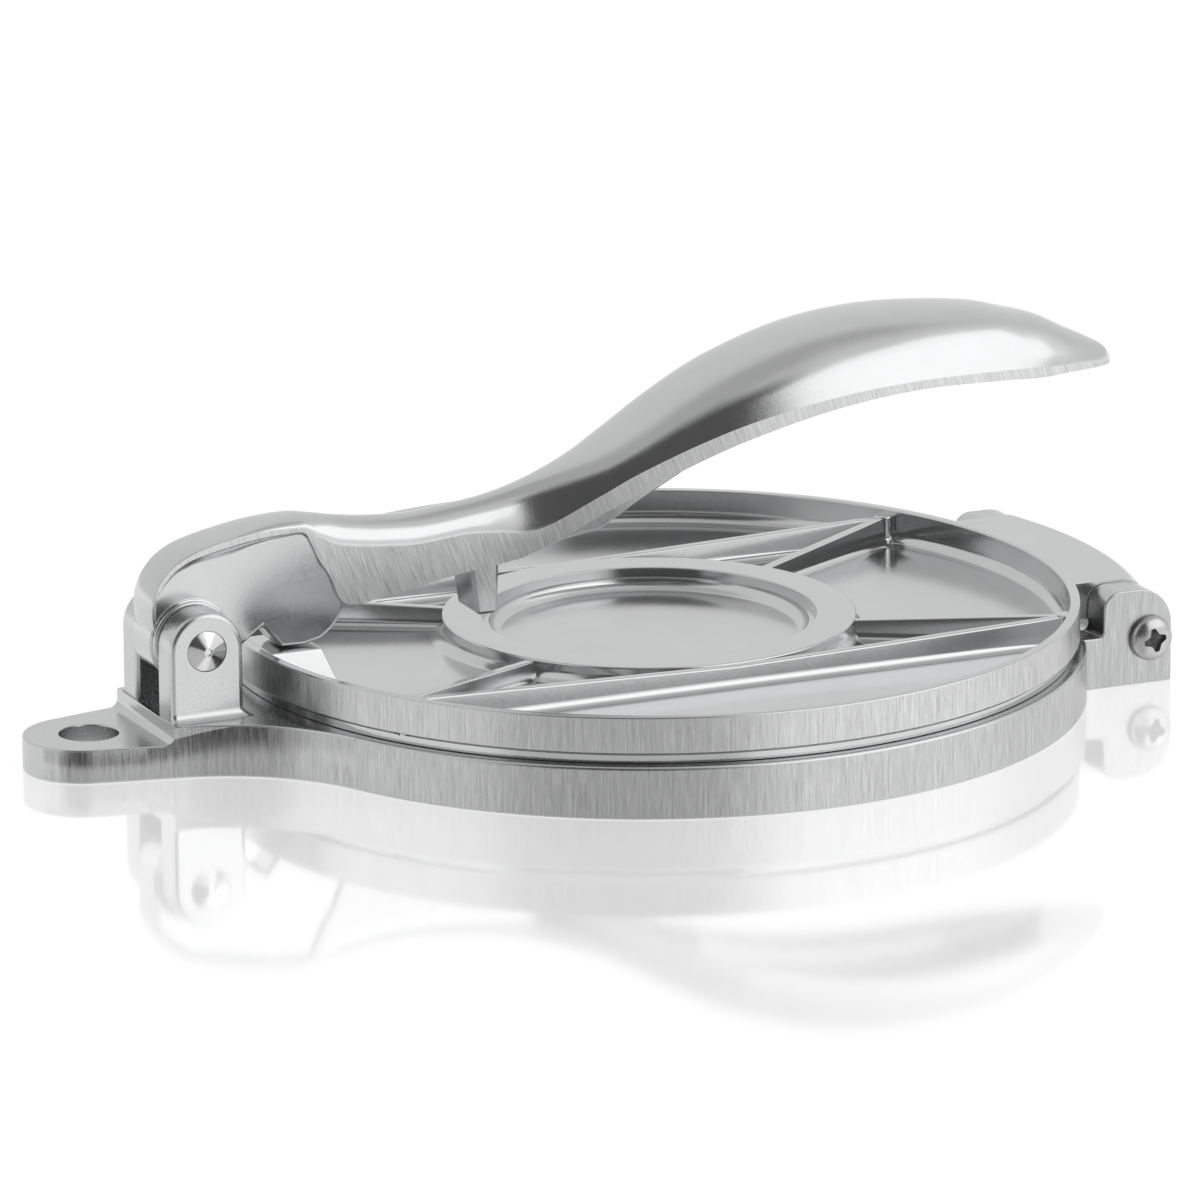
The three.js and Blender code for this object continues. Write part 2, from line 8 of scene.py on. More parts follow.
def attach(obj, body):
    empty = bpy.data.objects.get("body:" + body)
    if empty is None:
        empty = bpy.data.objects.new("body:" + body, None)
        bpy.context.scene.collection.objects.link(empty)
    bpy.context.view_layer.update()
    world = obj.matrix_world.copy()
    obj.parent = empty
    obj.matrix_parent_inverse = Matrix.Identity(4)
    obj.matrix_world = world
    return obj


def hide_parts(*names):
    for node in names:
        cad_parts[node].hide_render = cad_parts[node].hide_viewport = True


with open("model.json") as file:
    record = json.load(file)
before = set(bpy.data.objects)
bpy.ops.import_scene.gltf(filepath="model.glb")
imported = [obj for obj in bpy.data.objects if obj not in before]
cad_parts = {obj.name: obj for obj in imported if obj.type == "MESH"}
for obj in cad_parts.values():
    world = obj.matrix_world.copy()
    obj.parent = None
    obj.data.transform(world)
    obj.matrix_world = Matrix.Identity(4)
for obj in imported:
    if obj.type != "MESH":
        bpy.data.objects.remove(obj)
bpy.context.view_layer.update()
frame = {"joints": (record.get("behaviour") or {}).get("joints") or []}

joint_at = {joint["name"]: Vector(joint["pos_m"]) for joint in frame["joints"]}
hinge = joint_at["lid_swing"]
pivot = joint_at["lever_swing"]


# Base plate: a round cast-aluminium plate, flat on top for the dough, hollow underneath between
# its rim and a ring, with the rim ground upright all round.
plate_radius = 0.1
plate_height = 0.012
plate_edge = 0.0004
plate_round = 0.0009
plate_skin = 0.004
plate_wall = 0.004
under_ring_inner = 0.039
under_ring_outer = 0.046
under_fillet = 0.002
round_steps = 192
sunk = 0.00002
hinge_offset = 0.008
middle = Vector((hinge.x - plate_radius - hinge_offset, 0, 0))
upright_slope = 0.25
cloud_scale = 45.0
cloud_tint = 0.92
cloud_gloss = 0.15
grain_scale = 1700.0
grain_gloss = 0.03
scratch_scale = 2200.0
streak_scale = 1500.0
scratch_stretch = 0.06
scratch_tint = 0.6
scratch_depth = 0.00004
lean_start = 0.006
lean_finish = 0.014
lean_from = 0.35
lean_depth = 0.0015


def arc(centre_x, centre_y, radius, start, end, steps=6):
    """Points along an arc, its two angles in degrees."""
    angles = [math.radians(start + (end - start) * i / steps) for i in range(steps + 1)]
    return [(centre_x + radius * math.cos(a), centre_y + radius * math.sin(a)) for a in angles]


def traced(name, points):
    """One corner of a small plane, drawn out from point to point in edit mode."""
    bpy.ops.object.select_all(action="DESELECT")
    bpy.ops.mesh.primitive_plane_add(size=plate_edge, location=(0, 0, 0))
    piece = bpy.context.object
    piece.name = name
    bpy.ops.object.mode_set(mode="EDIT")
    bpy.ops.mesh.select_mode(type="VERT")
    bpy.ops.mesh.merge(type="CENTER")
    bpy.ops.transform.translate(value=points[0])
    for here, there in zip(points, points[1:]):
        bpy.ops.mesh.extrude_vertices_move(
            TRANSFORM_OT_translate={"value": Vector(there) - Vector(here)})
    bpy.ops.mesh.select_all(action="SELECT")
    return piece


def out_of_edit(piece):
    """Back to object mode with the faces turned outwards."""
    bpy.ops.mesh.select_all(action="SELECT")
    bpy.ops.mesh.remove_doubles(threshold=sunk / 20)
    bpy.ops.mesh.normals_make_consistent(inside=False)
    bpy.ops.object.mode_set(mode="OBJECT")
    return piece


def spun(name, profile, centre, axis=(0, 0, 1), outward=(1, 0, 0), steps=round_steps):
    """A turned piece: the profile's radius runs outward and its height along the axis."""
    along, out = Vector(axis), Vector(outward)
    piece = traced(name, [Vector(centre) + out * r + along * h for r, h in profile])
    bpy.ops.mesh.spin(steps=steps, angle=math.tau, center=centre, axis=axis)
    return out_of_edit(piece)


def applied(piece, kind, **settings):
    """A modifier added with its settings and applied."""
    bpy.ops.object.select_all(action="DESELECT")
    bpy.context.view_layer.objects.active = piece
    piece.select_set(True)
    modifier = piece.modifiers.new(kind.title(), kind)
    for setting, value in settings.items():
        setattr(modifier, setting, value)
    bpy.ops.object.modifier_apply(modifier=modifier.name)
    return piece


def smoothed(piece, angle=32):
    """Smooth shading, broken at sharper angles, that keeps the broad faces flat."""
    bpy.ops.object.select_all(action="DESELECT")
    bpy.context.view_layer.objects.active = piece
    piece.select_set(True)
    bpy.ops.object.shade_smooth_by_angle(angle=math.radians(angle))
    return applied(piece, "WEIGHTED_NORMAL", keep_sharp=True, weight=60)


def dressed(piece, body, slot, *finishes):
    """The piece gets its finishes and rides on its body; the slot is not used."""
    for finish in finishes:
        piece.data.materials.append(finish)
    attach(piece, body)
    return piece


def node_adder(tree):
    """A function that adds a node to the tree, with its settings and inputs."""
    def add(kind, inputs=(), **settings):
        node = tree.nodes.new(kind)
        for setting, value in settings.items():
            setattr(node, setting, value)
        for socket, value in dict(inputs).items():
            if isinstance(value, bpy.types.NodeSocket):
                tree.links.new(value, node.inputs[socket])
            else:
                node.inputs[socket].default_value = value
        return node

    return add


def finish_nodes(name, colour, roughness, metallic=0.94):
    """A new material, its node tree, its shader and a function that adds a node to it."""
    material = bpy.data.materials.new(name)
    material.use_nodes = True
    tree = material.node_tree
    shader = tree.nodes["Principled BSDF"]
    shader.inputs["Base Color"].default_value = (*colour, 1)
    shader.inputs["Roughness"].default_value = roughness
    shader.inputs["Metallic"].default_value = metallic
    return material, tree, shader, node_adder(tree)


def spread(add, source, low, high, floor=0.3, ceiling=0.7):
    """A value between floor and ceiling, most often a noise, stretched to run from low to high."""
    return add("ShaderNodeMapRange", {
        "Value": source, "From Min": floor, "From Max": ceiling, "To Min": low, "To Max": high,
    }).outputs["Result"]


def tinted(add, mix, colour, dark_share):
    """The colour where the mix is 1, and a darker share of it where the mix is 0."""
    return add("ShaderNodeMix", {
        0: mix, 6: (*[dark_share * part for part in colour], 1), 7: (*colour, 1),
    }, data_type="RGBA").outputs[2]


def cast_finish(name, colour, roughness, grain=0.000012):
    """Cast aluminium, blasted and barrel-polished: cloudy gloss over a fine grain."""
    material, tree, shader, add = finish_nodes(name, colour, roughness)
    place = add("ShaderNodeTexCoord").outputs["Object"]
    clouds = add("ShaderNodeTexNoise", {
        "Vector": place, "Scale": cloud_scale, "Detail": 5.0, "Roughness": 0.65}).outputs["Fac"]
    grains = add("ShaderNodeTexNoise", {
        "Vector": place, "Scale": grain_scale, "Detail": 2.0, "Roughness": 0.55}).outputs["Fac"]
    tint = tinted(add, spread(add, clouds, 0.0, 1.0), colour, cloud_tint)
    tree.links.new(tint, shader.inputs["Base Color"])
    gloss = add("ShaderNodeMath", {
        0: spread(add, clouds, roughness * (1 - cloud_gloss), roughness * (1 + cloud_gloss)),
        1: spread(add, grains, -grain_gloss, grain_gloss),
    }, operation="ADD")
    tree.links.new(gloss.outputs[0], shader.inputs["Roughness"])
    bump = add("ShaderNodeBump", {"Height": grains, "Distance": grain, "Strength": 0.5})
    tree.links.new(bump.outputs["Normal"], shader.inputs["Normal"])
    return material


def ground_finish(name, colour, roughness, around=None, lean=0.0, top_beyond=None):
    """Ground aluminium: upright scratches, close together, on a wall that runs round or straight.

    With top_beyond, a place along X and two heights, the wall seems to lean in towards its top,
    which is the first height before that place and the second beyond it."""
    material, tree, shader, add = finish_nodes(name, colour, roughness)
    place = add("ShaderNodeTexCoord").outputs["Object"]
    if around is not None:
        centred = add("ShaderNodeMapping", {
            "Vector": place, "Location": (-around.x, -around.y, 0)}).outputs["Vector"]
        parts = add("ShaderNodeSeparateXYZ", {"Vector": centred})
        turn = add("ShaderNodeMath", {0: parts.outputs["Y"], 1: parts.outputs["X"]},
                   operation="ARCTAN2")
        run = add("ShaderNodeMath", {0: turn.outputs[0], 1: plate_radius},
                  operation="MULTIPLY").outputs[0]
        up = parts.outputs["Z"]
    else:
        tilted = add("ShaderNodeMapping", {
            "Vector": place, "Rotation": (0, lean, 0)}).outputs["Vector"]
        parts = add("ShaderNodeSeparateXYZ", {"Vector": tilted})
        run, up = parts.outputs["X"], parts.outputs["Z"]
    strip = add("ShaderNodeCombineXYZ", {"X": run, "Y": up}).outputs["Vector"]
    fine = add("ShaderNodeMapping", {
        "Vector": strip, "Scale": (1, scratch_stretch, 1)}).outputs["Vector"]
    scratch = add("ShaderNodeTexNoise", {
        "Vector": fine, "Scale": scratch_scale, "Detail": 3.0, "Roughness": 0.65}).outputs["Fac"]
    streaks = add("ShaderNodeTexNoise", {
        "Vector": fine, "Scale": streak_scale, "Detail": 2.0, "Roughness": 0.6}).outputs["Fac"]
    both = add("ShaderNodeMath", {0: streaks, 1: 0.5, 2: scratch},
               operation="MULTIPLY_ADD").outputs[0]
    tint = tinted(add, spread(add, both, 0.0, 1.0, 0.5, 1.0), colour, scratch_tint)
    tree.links.new(tint, shader.inputs["Base Color"])
    tree.links.new(spread(add, scratch, roughness - 0.06, roughness + 0.1),
                   shader.inputs["Roughness"])
    bump = add("ShaderNodeBump", {"Height": both, "Distance": scratch_depth, "Strength": 0.6})
    if top_beyond is not None:
        step_at, low_top, high_top = top_beyond
        place_parts = add("ShaderNodeSeparateXYZ", {"Vector": place}).outputs
        top = spread(add, place_parts["X"], low_top, high_top,
                     step_at - lean_start, step_at + lean_finish)
        level = add("ShaderNodeMath", {0: place_parts["Z"], 1: top}, operation="DIVIDE").outputs[0]
        above = spread(add, level, 0.0, 1.0, lean_from, 1.0)
        fall = add("ShaderNodeMath", {0: above, 1: 2.0}, operation="POWER").outputs[0]
        ease = add("ShaderNodeBump", {"Height": fall, "Distance": lean_depth, "Strength": 1.0},
                   invert=True)
        tree.links.new(ease.outputs["Normal"], bump.inputs["Normal"])
    tree.links.new(bump.outputs["Normal"], shader.inputs["Normal"])
    return material


cast = cast_finish("cast_aluminium_satin", (0.6, 0.604, 0.608), 0.26, grain=0.000006)
ground_round = ground_finish("ground_rim", (0.65, 0.653, 0.656), 0.3, around=middle)


def grind_walls(piece, beyond, low=0):
    """The upright outer faces beyond a radius and above a height take the second finish."""
    for face in piece.data.polygons:
        from_middle = face.center - middle
        outward = from_middle.dot(face.normal) > 0 and from_middle.xy.length >= beyond
        if abs(face.normal.z) < upright_slope and outward and face.center.z > low:
            face.material_index = 1


skin_bottom = plate_height - plate_skin
rim_inside = plate_radius - plate_wall
plate_profile = [
    (0, skin_bottom),
    *arc(under_ring_inner - under_fillet, skin_bottom - under_fillet, under_fillet, 90, 0),
    *arc(under_ring_inner + plate_edge, plate_edge, plate_edge, 180, 270, 3),
    *arc(under_ring_outer - plate_edge, plate_edge, plate_edge, 270, 360, 3),
    *arc(under_ring_outer + under_fillet, skin_bottom - under_fillet, under_fillet, 180, 90),
    *arc(rim_inside - under_fillet, skin_bottom - under_fillet, under_fillet, 90, 0),
    *arc(rim_inside + plate_edge, plate_edge, plate_edge, 180, 270, 3),
    *arc(plate_radius - plate_edge, plate_edge, plate_edge, 270, 360, 4),
    *arc(plate_radius - plate_round, plate_height - plate_round, plate_round, 0, 90, 6),
    (0, plate_height),
]
base_plate = smoothed(spun("base_plate", plate_profile, middle))
dressed(base_plate, "base", "cast_aluminium", cast, ground_round)
grind_walls(base_plate, rim_inside + plate_edge)
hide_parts("base_casting")


# Neck and tab: one flat arm of the same casting. It flares from the round end of the tab into the
# plate, stands as high as the plate under the ears, and steps down to the drilled tab.
tab_run = 0.0381
tab_radius = 0.01405
tab_flare = 12.2
tab_height = 0.0078
neck_fillet = 0.045
neck_run = 0.0236
step_fillet = 0.002
hole_inset = 0.0009
hole_radius = 0.00672
pocket_depth = 0.0042
pocket_lip = 0.0012
ear_gap = 0.0065
ear_arch = 0.00875
past = 0.001


def drawn_out(name, points, run):
    """A flat outline, filled and drawn out along a run."""
    piece = traced(name, points)
    bpy.ops.mesh.edge_face_add()
    bpy.ops.mesh.extrude_region_move(TRANSFORM_OT_translate={"value": run})
    return out_of_edit(piece)


def slab(name, outline, low, high):
    """A level outline, drawn up from one height to another."""
    return drawn_out(name, [Vector((x, y, low)) for x, y in outline], (0, 0, high - low))


def panel(name, outline, low, high):
    """An outline in the upright plane through the lever, drawn out across the press."""
    return drawn_out(name, [Vector((x, low, z)) for x, z in outline], (0, high - low, 0))


def drill(name, at, radius, length, axis="Z", sides=64):
    """A round bar or cutter, upright or across the press, centred on its place."""
    turn = {"Y": (math.pi / 2, 0, 0), "Z": (0, 0, 0)}[axis]
    bpy.ops.object.select_all(action="DESELECT")
    bpy.ops.mesh.primitive_cylinder_add(
        vertices=sides, radius=radius, depth=length, location=at, rotation=turn)
    bpy.context.object.name = name
    bpy.ops.object.transform_apply(location=True, rotation=True, scale=True)
    return bpy.context.object


def cut(piece, cutter, operation="DIFFERENCE"):
    """The cutter's shape taken out of the piece, or with INTERSECT all that is kept of it."""
    applied(piece, "BOOLEAN", operation=operation, solver="EXACT", object=cutter)
    bpy.data.objects.remove(cutter)
    return piece


def rounded(piece, width, segments=3, above=30):
    """The edges sharper than an angle rounded over, and the faces shaded smoothly."""
    applied(piece, "BEVEL", width=width, segments=segments, limit_method="ANGLE",
            angle_limit=math.radians(above), harden_normals=False, use_clamp_overlap=True)
    return smoothed(piece)


def block(name, low, high):
    """A square cutter between two corners."""
    bpy.ops.object.select_all(action="DESELECT")
    size = Vector(high) - Vector(low)
    bpy.ops.mesh.primitive_cube_add(size=1, location=(Vector(low) + Vector(high)) / 2, scale=size)
    bpy.context.object.name = name
    bpy.ops.object.transform_apply(location=True, rotation=True, scale=True)
    return bpy.context.object


tab_reach = plate_radius + tab_run
fillet_line = tab_radius + neck_fillet
fillet_reach = plate_radius + neck_fillet
flare = math.radians(tab_flare)
from_tab = Vector((-tab_reach - math.sin(flare) * fillet_line, math.cos(flare) * fillet_line))
along = Vector((math.cos(flare), math.sin(flare)))
nearest = from_tab.dot(along)
half_chord = math.sqrt(nearest ** 2 - from_tab.length_squared + fillet_reach ** 2)
fillet_at = from_tab - along * (nearest + half_chord)
if fillet_at.x < -tab_reach:
    fillet_at = from_tab - along * (nearest - half_chord)
plate_turn = math.degrees(math.atan2(-fillet_at.y, -fillet_at.x))
upper_side = [
    *arc(fillet_at.x, fillet_at.y, neck_fillet, plate_turn, tab_flare - 90, 20),
    *arc(-tab_reach, 0, tab_radius, tab_flare + 90, 180, 14),
]
lower_side = [(x, -y) for x, y in reversed(upper_side[:-1])]
side_turn = 180 + plate_turn
inner_end = arc(0, 0, rim_inside + past, 360 - side_turn, side_turn, 24)
arm_outline = [(x + middle.x, y) for x, y in [*upper_side, *lower_side, *inner_end]]
wall_x = middle.x - plate_radius - neck_run

neck_tab = slab("neck_and_tab", arm_outline, sunk, plate_height + sunk)
step_outline = [
    (wall_x, plate_height + past),
    *arc(wall_x - step_fillet, tab_height + step_fillet, step_fillet, 0, -90),
    (wall_x - plate_radius, tab_height), (wall_x - plate_radius, plate_height + past),
]
cut(neck_tab, panel("step_cutter", step_outline, -plate_radius, plate_radius))
pocket_start = wall_x + pocket_lip
cut(neck_tab, block(
    "pocket_cutter", (pocket_start, -ear_gap, plate_height - pocket_depth),
    (pivot.x + ear_arch, ear_gap, plate_height + past)))
cut(neck_tab, drill(
    "hole_cutter", (middle.x - tab_reach + hole_inset, 0, tab_height / 2),
    hole_radius, plate_height * 2))
rounded(neck_tab, plate_edge)
ground_neck = ground_finish("ground_neck", (0.65, 0.653, 0.656), 0.3,
                            top_beyond=(wall_x, tab_height, plate_height))
dressed(neck_tab, "base", "cast_aluminium", cast, ground_neck)
for face in neck_tab.data.polygons:
    if abs(face.normal.z) < upright_slope and abs(face.center.y) > ear_gap + plate_edge:
        face.material_index = 1
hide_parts("base_casting")


# Ears: two round-topped lugs that stand on the neck, cast in one with it, with rounded edges and
# a fillet round the foot. The lever's pin is held in them.
ear_thick = 0.0084
ear_edge = 0.0013
ear_foot = 0.0022
pin_radius = 0.004585
pin_gap = 0.0003
pin_hole = pin_radius + pin_gap / 3
both_sides = ((-1, "front"), (1, "rear"))


def arched(half, foot, centre_x, centre_z):
    """Upright outline of an ear: straight sides under a round top."""
    return [
        (centre_x - half, foot), (centre_x + half, foot),
        *arc(centre_x, centre_z, half, 0, 180, 24),
    ]


def skirt(name, left, right, near, far, side):
    """The hollow fillet round an ear's foot, on its outer and right-hand sides."""
    levels = 7
    step_up = (ear_foot + past) / (levels - 1)
    outer, inner = (near, far) if side < 0 else (far, near)
    left, inner = left + sunk * 4, inner + side * sunk * 4
    piece = traced(name, [Vector((x, y, plate_height)) for x, y in (
        (left, inner), (right, inner), (right, outer), (left, outer))])
    bpy.ops.mesh.edge_face_add()
    bpy.ops.mesh.bevel(offset=ear_edge, segments=5, affect="VERTICES")
    for _ in range(levels - 1):
        bpy.ops.mesh.extrude_region_move(TRANSFORM_OT_translate={"value": (0, 0, step_up)})
    out_of_edit(piece)
    for vertex in piece.data.vertices:
        level = round((vertex.co.z - plate_height) / step_up)
        turn = math.pi / 2 * max(level - 1, 0) / (levels - 2)
        reach = ear_foot * (1 - math.sin(turn)) - sunk * 2
        vertex.co.z = plate_height + ear_foot * (1 - math.cos(turn)) - past * (level == 0)
        if vertex.co.x > (left + right) / 2:
            vertex.co.x += reach
        if abs(vertex.co.y) > (abs(outer) + abs(inner)) / 2:
            vertex.co.y += side * reach
    bpy.context.view_layer.objects.active = piece
    return smoothed(piece, 40)


for side, word in both_sides:
    near, far = sorted((side * ear_gap, side * (ear_gap + ear_thick)))
    outline = arched(ear_arch, plate_height - past, pivot.x, pivot.z)
    ear = panel(f"ear_{word}", outline, near, far)
    rounded(ear, ear_edge, segments=4, above=50)
    foot = skirt(f"ear_foot_{word}", pivot.x - ear_arch, pivot.x + ear_arch, near, far, side)
    dressed(foot, "base", "cast_aluminium", cast)
    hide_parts("base_casting")
    cut(ear, drill("pin_bore", (pivot.x, 0, pivot.z), pin_hole, 4 * (ear_gap + ear_thick),
                   axis="Y"))
    smoothed(ear)
    dressed(ear, "base", "cast_aluminium", cast)
    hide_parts("base_casting")


# Hinge lugs: two blocks cast on the plate's edge, brushed upright on their sides. Each holds a
# screw that the lid turns on.
lug_inner = 0.0312
lug_thick = 0.0084
lug_back = 0.0117
lug_front = 0.0056
lug_top = 0.0224
lug_round = 0.0087
lug_corner = 0.0043
lug_edge = 0.0004
lug_nook = 0.0014
screw_radius = 0.0025
facing = 0.8
ground_lug = ground_finish("brushed_lug", (0.61, 0.613, 0.616), 0.32)
lug_end = hinge.x + lug_front
lug_start = hinge.x - lug_back
lug_outer = lug_inner + lug_thick
lug_root = middle.x + math.sqrt(rim_inside ** 2 - lug_outer ** 2) + plate_edge
for side, word in both_sides:
    near, far = sorted((side * lug_inner, side * lug_outer))
    outline = [
        (lug_root, 0), (lug_end, 0),
        *arc(lug_end - lug_round, lug_top - lug_round, lug_round, 0, 90, 12),
        *arc(lug_start + lug_corner, lug_top - lug_corner, lug_corner, 90, 180, 8),
        *arc(lug_start - lug_nook, plate_height + lug_nook + sunk, lug_nook, 0, -90, 6),
        (lug_root, plate_height + sunk),
    ]
    lug = panel(f"hinge_lug_{word}", outline, near, far)
    rounded(lug, lug_edge)
    dressed(lug, "base", "cast_aluminium", cast, ground_lug)
    for face in lug.data.polygons:
        if abs(face.normal.y) > facing or abs(face.normal.x) > facing:
            face.material_index = 1
    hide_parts("base_casting")


# Lid plate: the upper casting, a shallow dish. Its flat pressing face and flange lie just over the
# base plate, and a low ring stands on its floor to stiffen it.
lid_bottom = 0.0123
platen_radius = 0.0972
platen_depth = 0.0022
platen_groove = 0.0006
platen_settle = 0.0002
groove_run_share = 1.5
groove_rise_share = 0.8
flange_radius = 0.0984
flange_height = 0.0084
rim_wall = 0.0024
rim_edge = 0.0004
lid_thickness = 0.0027
foot_radius = 0.003
ring_inner = 0.0382
ring_outer = 0.0473
ring_height = 0.0047
ring_ledge = 0.0016
ring_ledge_height = 0.0029
flange_bottom = lid_bottom + platen_depth
flange_top = flange_bottom + flange_height
lid_floor = lid_bottom + lid_thickness
ring_top = lid_floor + ring_height
rim_inner = flange_radius - rim_wall
ledge_radius = ring_inner - ring_ledge
platen_bottom = lid_bottom - platen_settle
groove_radius = platen_radius - platen_groove * groove_run_share
lid_profile = [
    (0, platen_bottom),
    *arc(platen_radius - rim_edge / 2, platen_bottom + rim_edge / 2, rim_edge / 2, 270, 360, 3),
    (platen_radius, flange_bottom - platen_groove),
    (groove_radius, flange_bottom - platen_groove * groove_rise_share),
    (groove_radius, flange_bottom),
    *arc(flange_radius - rim_edge, flange_bottom + rim_edge, rim_edge, 270, 360, 4),
    *arc(flange_radius - rim_edge, flange_top - rim_edge, rim_edge, 0, 90, 4),
    *arc(rim_inner + rim_edge, flange_top - rim_edge, rim_edge, 90, 180, 4),
    *arc(rim_inner - foot_radius, lid_floor + foot_radius, foot_radius, 360, 270, 8),
    *arc(ring_outer + foot_radius, lid_floor + foot_radius, foot_radius, 270, 180, 8),
    *arc(ring_outer - rim_edge, ring_top - rim_edge, rim_edge, 0, 90, 4),
    *arc(ring_inner + rim_edge, ring_top - rim_edge, rim_edge, 90, 180, 4),
    (ring_inner, lid_floor + ring_ledge_height),
    *arc(ledge_radius - ring_ledge_height, lid_floor + ring_ledge_height, ring_ledge_height,
         360, 270, 8),
    (0, lid_floor),
]
lid_cast = cast_finish("lid_aluminium_satin", (0.62, 0.624, 0.628), 0.16)
ground_lid = ground_finish("ground_lid_rim", (0.72, 0.723, 0.726), 0.3, around=middle)
lid_plate = smoothed(spun("lid_plate", lid_profile, middle))
dressed(lid_plate, "lid", "cast_aluminium", lid_cast, ground_lid)
grind_walls(lid_plate, platen_radius - rim_edge, low=flange_bottom)
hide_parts("lid_casting")


# Ribs: two long ones across the lid beside the ring, and four slanting ones that run from the ring
# to small bosses at the ends of the long ones. All are cast with the lid.
rib_width = 0.0035
rib_offset = 0.0481
rib_low = 0.0043
rib_high = 0.0063
rib_fillet = 0.0018
rib_top_edge = 0.0004
rib_draft = 0.0006
short_rib_turn = 31.6
boss_inset = 0.0006
boss_radius = 0.0024
boss_height = 0.0065
boss_reach = math.sqrt((rim_inner - boss_inset) ** 2 - rib_offset ** 2)


def rib(name, start, end, heights):
    """A bar with hollow flanks at its foot and rounded shoulders, with its height given at each
    station."""
    start, end = Vector(start), Vector(end)
    run = end - start
    sideways = Vector((-run.y, run.x, 0)).normalized()
    half = rib_width / 2
    section = [(-half - rib_fillet, -past)]
    section += arc(-half - rib_fillet, rib_fillet, rib_fillet, 270, 360, 5)
    section += arc(-half + rib_draft + rib_top_edge, 0, rib_top_edge, 180, 90, 4)
    section += arc(half - rib_draft - rib_top_edge, 0, rib_top_edge, 90, 0, 4)
    section += arc(half + rib_fillet, rib_fillet, rib_fillet, 180, 270, 5)
    section += [(half + rib_fillet, -past)]
    piece = traced(name, [
        start + sideways * across + Vector((0, 0, up + lid_floor))
        for across, up in section])
    bpy.ops.mesh.edge_face_add()
    steps = len(heights) - 1
    for _ in range(steps):
        bpy.ops.mesh.extrude_region_move(TRANSFORM_OT_translate={"value": run / steps})
    out_of_edit(piece)
    for vertex in piece.data.vertices:
        share = (vertex.co - start).dot(run) / run.length_squared * steps
        station = min(int(share), steps - 1)
        height = heights[station] + (heights[station + 1] - heights[station]) * (share - station)
        across = abs((vertex.co - start).dot(sideways))
        if across < half - rib_draft + sunk:
            vertex.co.z += height - rib_top_edge
    return smoothed(piece)


long_half = math.sqrt((rim_inner + rim_edge) ** 2 - rib_offset ** 2)
ribs = []
for side, word in both_sides:
    ribs.append(rib(
        f"long_rib_{word}",
        middle + Vector((-long_half, side * rib_offset, 0)),
        middle + Vector((long_half, side * rib_offset, 0)),
        [rib_high, rib_low, rib_high]))
    for end, end_word in ((-1, "left"), (1, "right")):
        turn = math.radians(short_rib_turn)
        ribs.append(rib(
            f"short_rib_{word}_{end_word}",
            middle + Vector((end * (ring_outer - rim_edge) * math.cos(turn),
                             side * (ring_outer - rim_edge) * math.sin(turn), 0)),
            middle + Vector((end * boss_reach, side * rib_offset, 0)),
            [rib_low, rib_high]))
        boss = spun(
            f"rib_boss_{word}_{end_word}", [
                (0, lid_floor - past),
                (boss_radius + rib_fillet, lid_floor - past),
                *arc(boss_radius + rib_fillet, lid_floor + rib_fillet, rib_fillet, 270, 180, 5),
                *arc(boss_radius - rib_top_edge, lid_floor + boss_height - rib_top_edge,
                     rib_top_edge, 0, 90, 4),
                (0, lid_floor + boss_height),
            ], middle + Vector((end * boss_reach, side * rib_offset, 0)), steps=40)
        cut(boss, drill("rim_room", middle + Vector((0, 0, lid_floor)), rim_inner + rim_edge,
                        plate_height * 2, sides=round_steps), "INTERSECT")
        ribs.append(smoothed(boss))
for piece in ribs:
    dressed(piece, "lid", "cast_aluminium", lid_cast)
    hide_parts("lid_casting")


# Push block: a short raised seat on the lid's floor against its rim, under the lever's head, where
# the lever bears down. Its sides slant out towards its foot.
seat_length = 0.0144
seat_half = 0.008
seat_height = 0.0081
seat_spread = 0.0026
seat_foot_run = 0.003
seat_edge = 0.0004
foot_end_share = 1.3
foot_bend_share = 0.9
foot_rise_share = 0.12
seat_face = middle.x - flange_radius + seat_length
seat = panel("push_block", [
    (middle.x - rim_inner - rim_edge, lid_floor - past),
    (seat_face + seat_foot_run * foot_end_share, lid_floor - past),
    (seat_face + seat_foot_run * foot_bend_share, lid_floor + seat_height * foot_rise_share),
    (seat_face, lid_floor + seat_height),
    (middle.x - rim_inner - rim_edge, lid_floor + seat_height),
], -seat_half, seat_half)
for vertex in seat.data.vertices:
    drop = (lid_floor + seat_height - vertex.co.z) / seat_height
    vertex.co.y += math.copysign(seat_spread * drop, vertex.co.y)
rounded(seat, seat_edge)
dressed(seat, "lid", "cast_aluminium", lid_cast)
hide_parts("lid_casting")


# Knuckle: the lid's broad hinge tongue, cast on the rim between the two lugs, flat on top, rounded
# over at its outer edge, with a round barrel that the two screws enter.
knuckle_half = 0.031
knuckle_radius = 0.006
knuckle_edge = 0.003
knuckle_reach = plate_radius + hinge_offset + knuckle_radius
tongue_root_share = 0.7
screw_hole = screw_radius + pin_gap
tongue = spun("hinge_tongue", [
    (0, flange_bottom),
    (knuckle_reach, flange_bottom),
    *arc(knuckle_reach - knuckle_edge, flange_top - knuckle_edge + sunk, knuckle_edge, 0, 90, 8),
    (0, flange_top + sunk),
], middle)
cut(tongue, block(
    "tongue_room", (middle.x + rim_inner * tongue_root_share, -knuckle_half, 0),
    (middle.x + knuckle_reach + past, knuckle_half, plate_height * 3)), "INTERSECT")
cut(tongue, drill("rim_room", middle + Vector((0, 0, lid_floor)), rim_inner + rim_edge,
                  plate_height * 4, sides=round_steps))
rounded(tongue, rim_edge, above=50)
dressed(tongue, "lid", "cast_aluminium", lid_cast)
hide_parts("lid_casting")
barrel = drill("hinge_barrel", (hinge.x, 0, hinge.z), knuckle_radius - sunk, 2 * knuckle_half,
               axis="Y", sides=64)
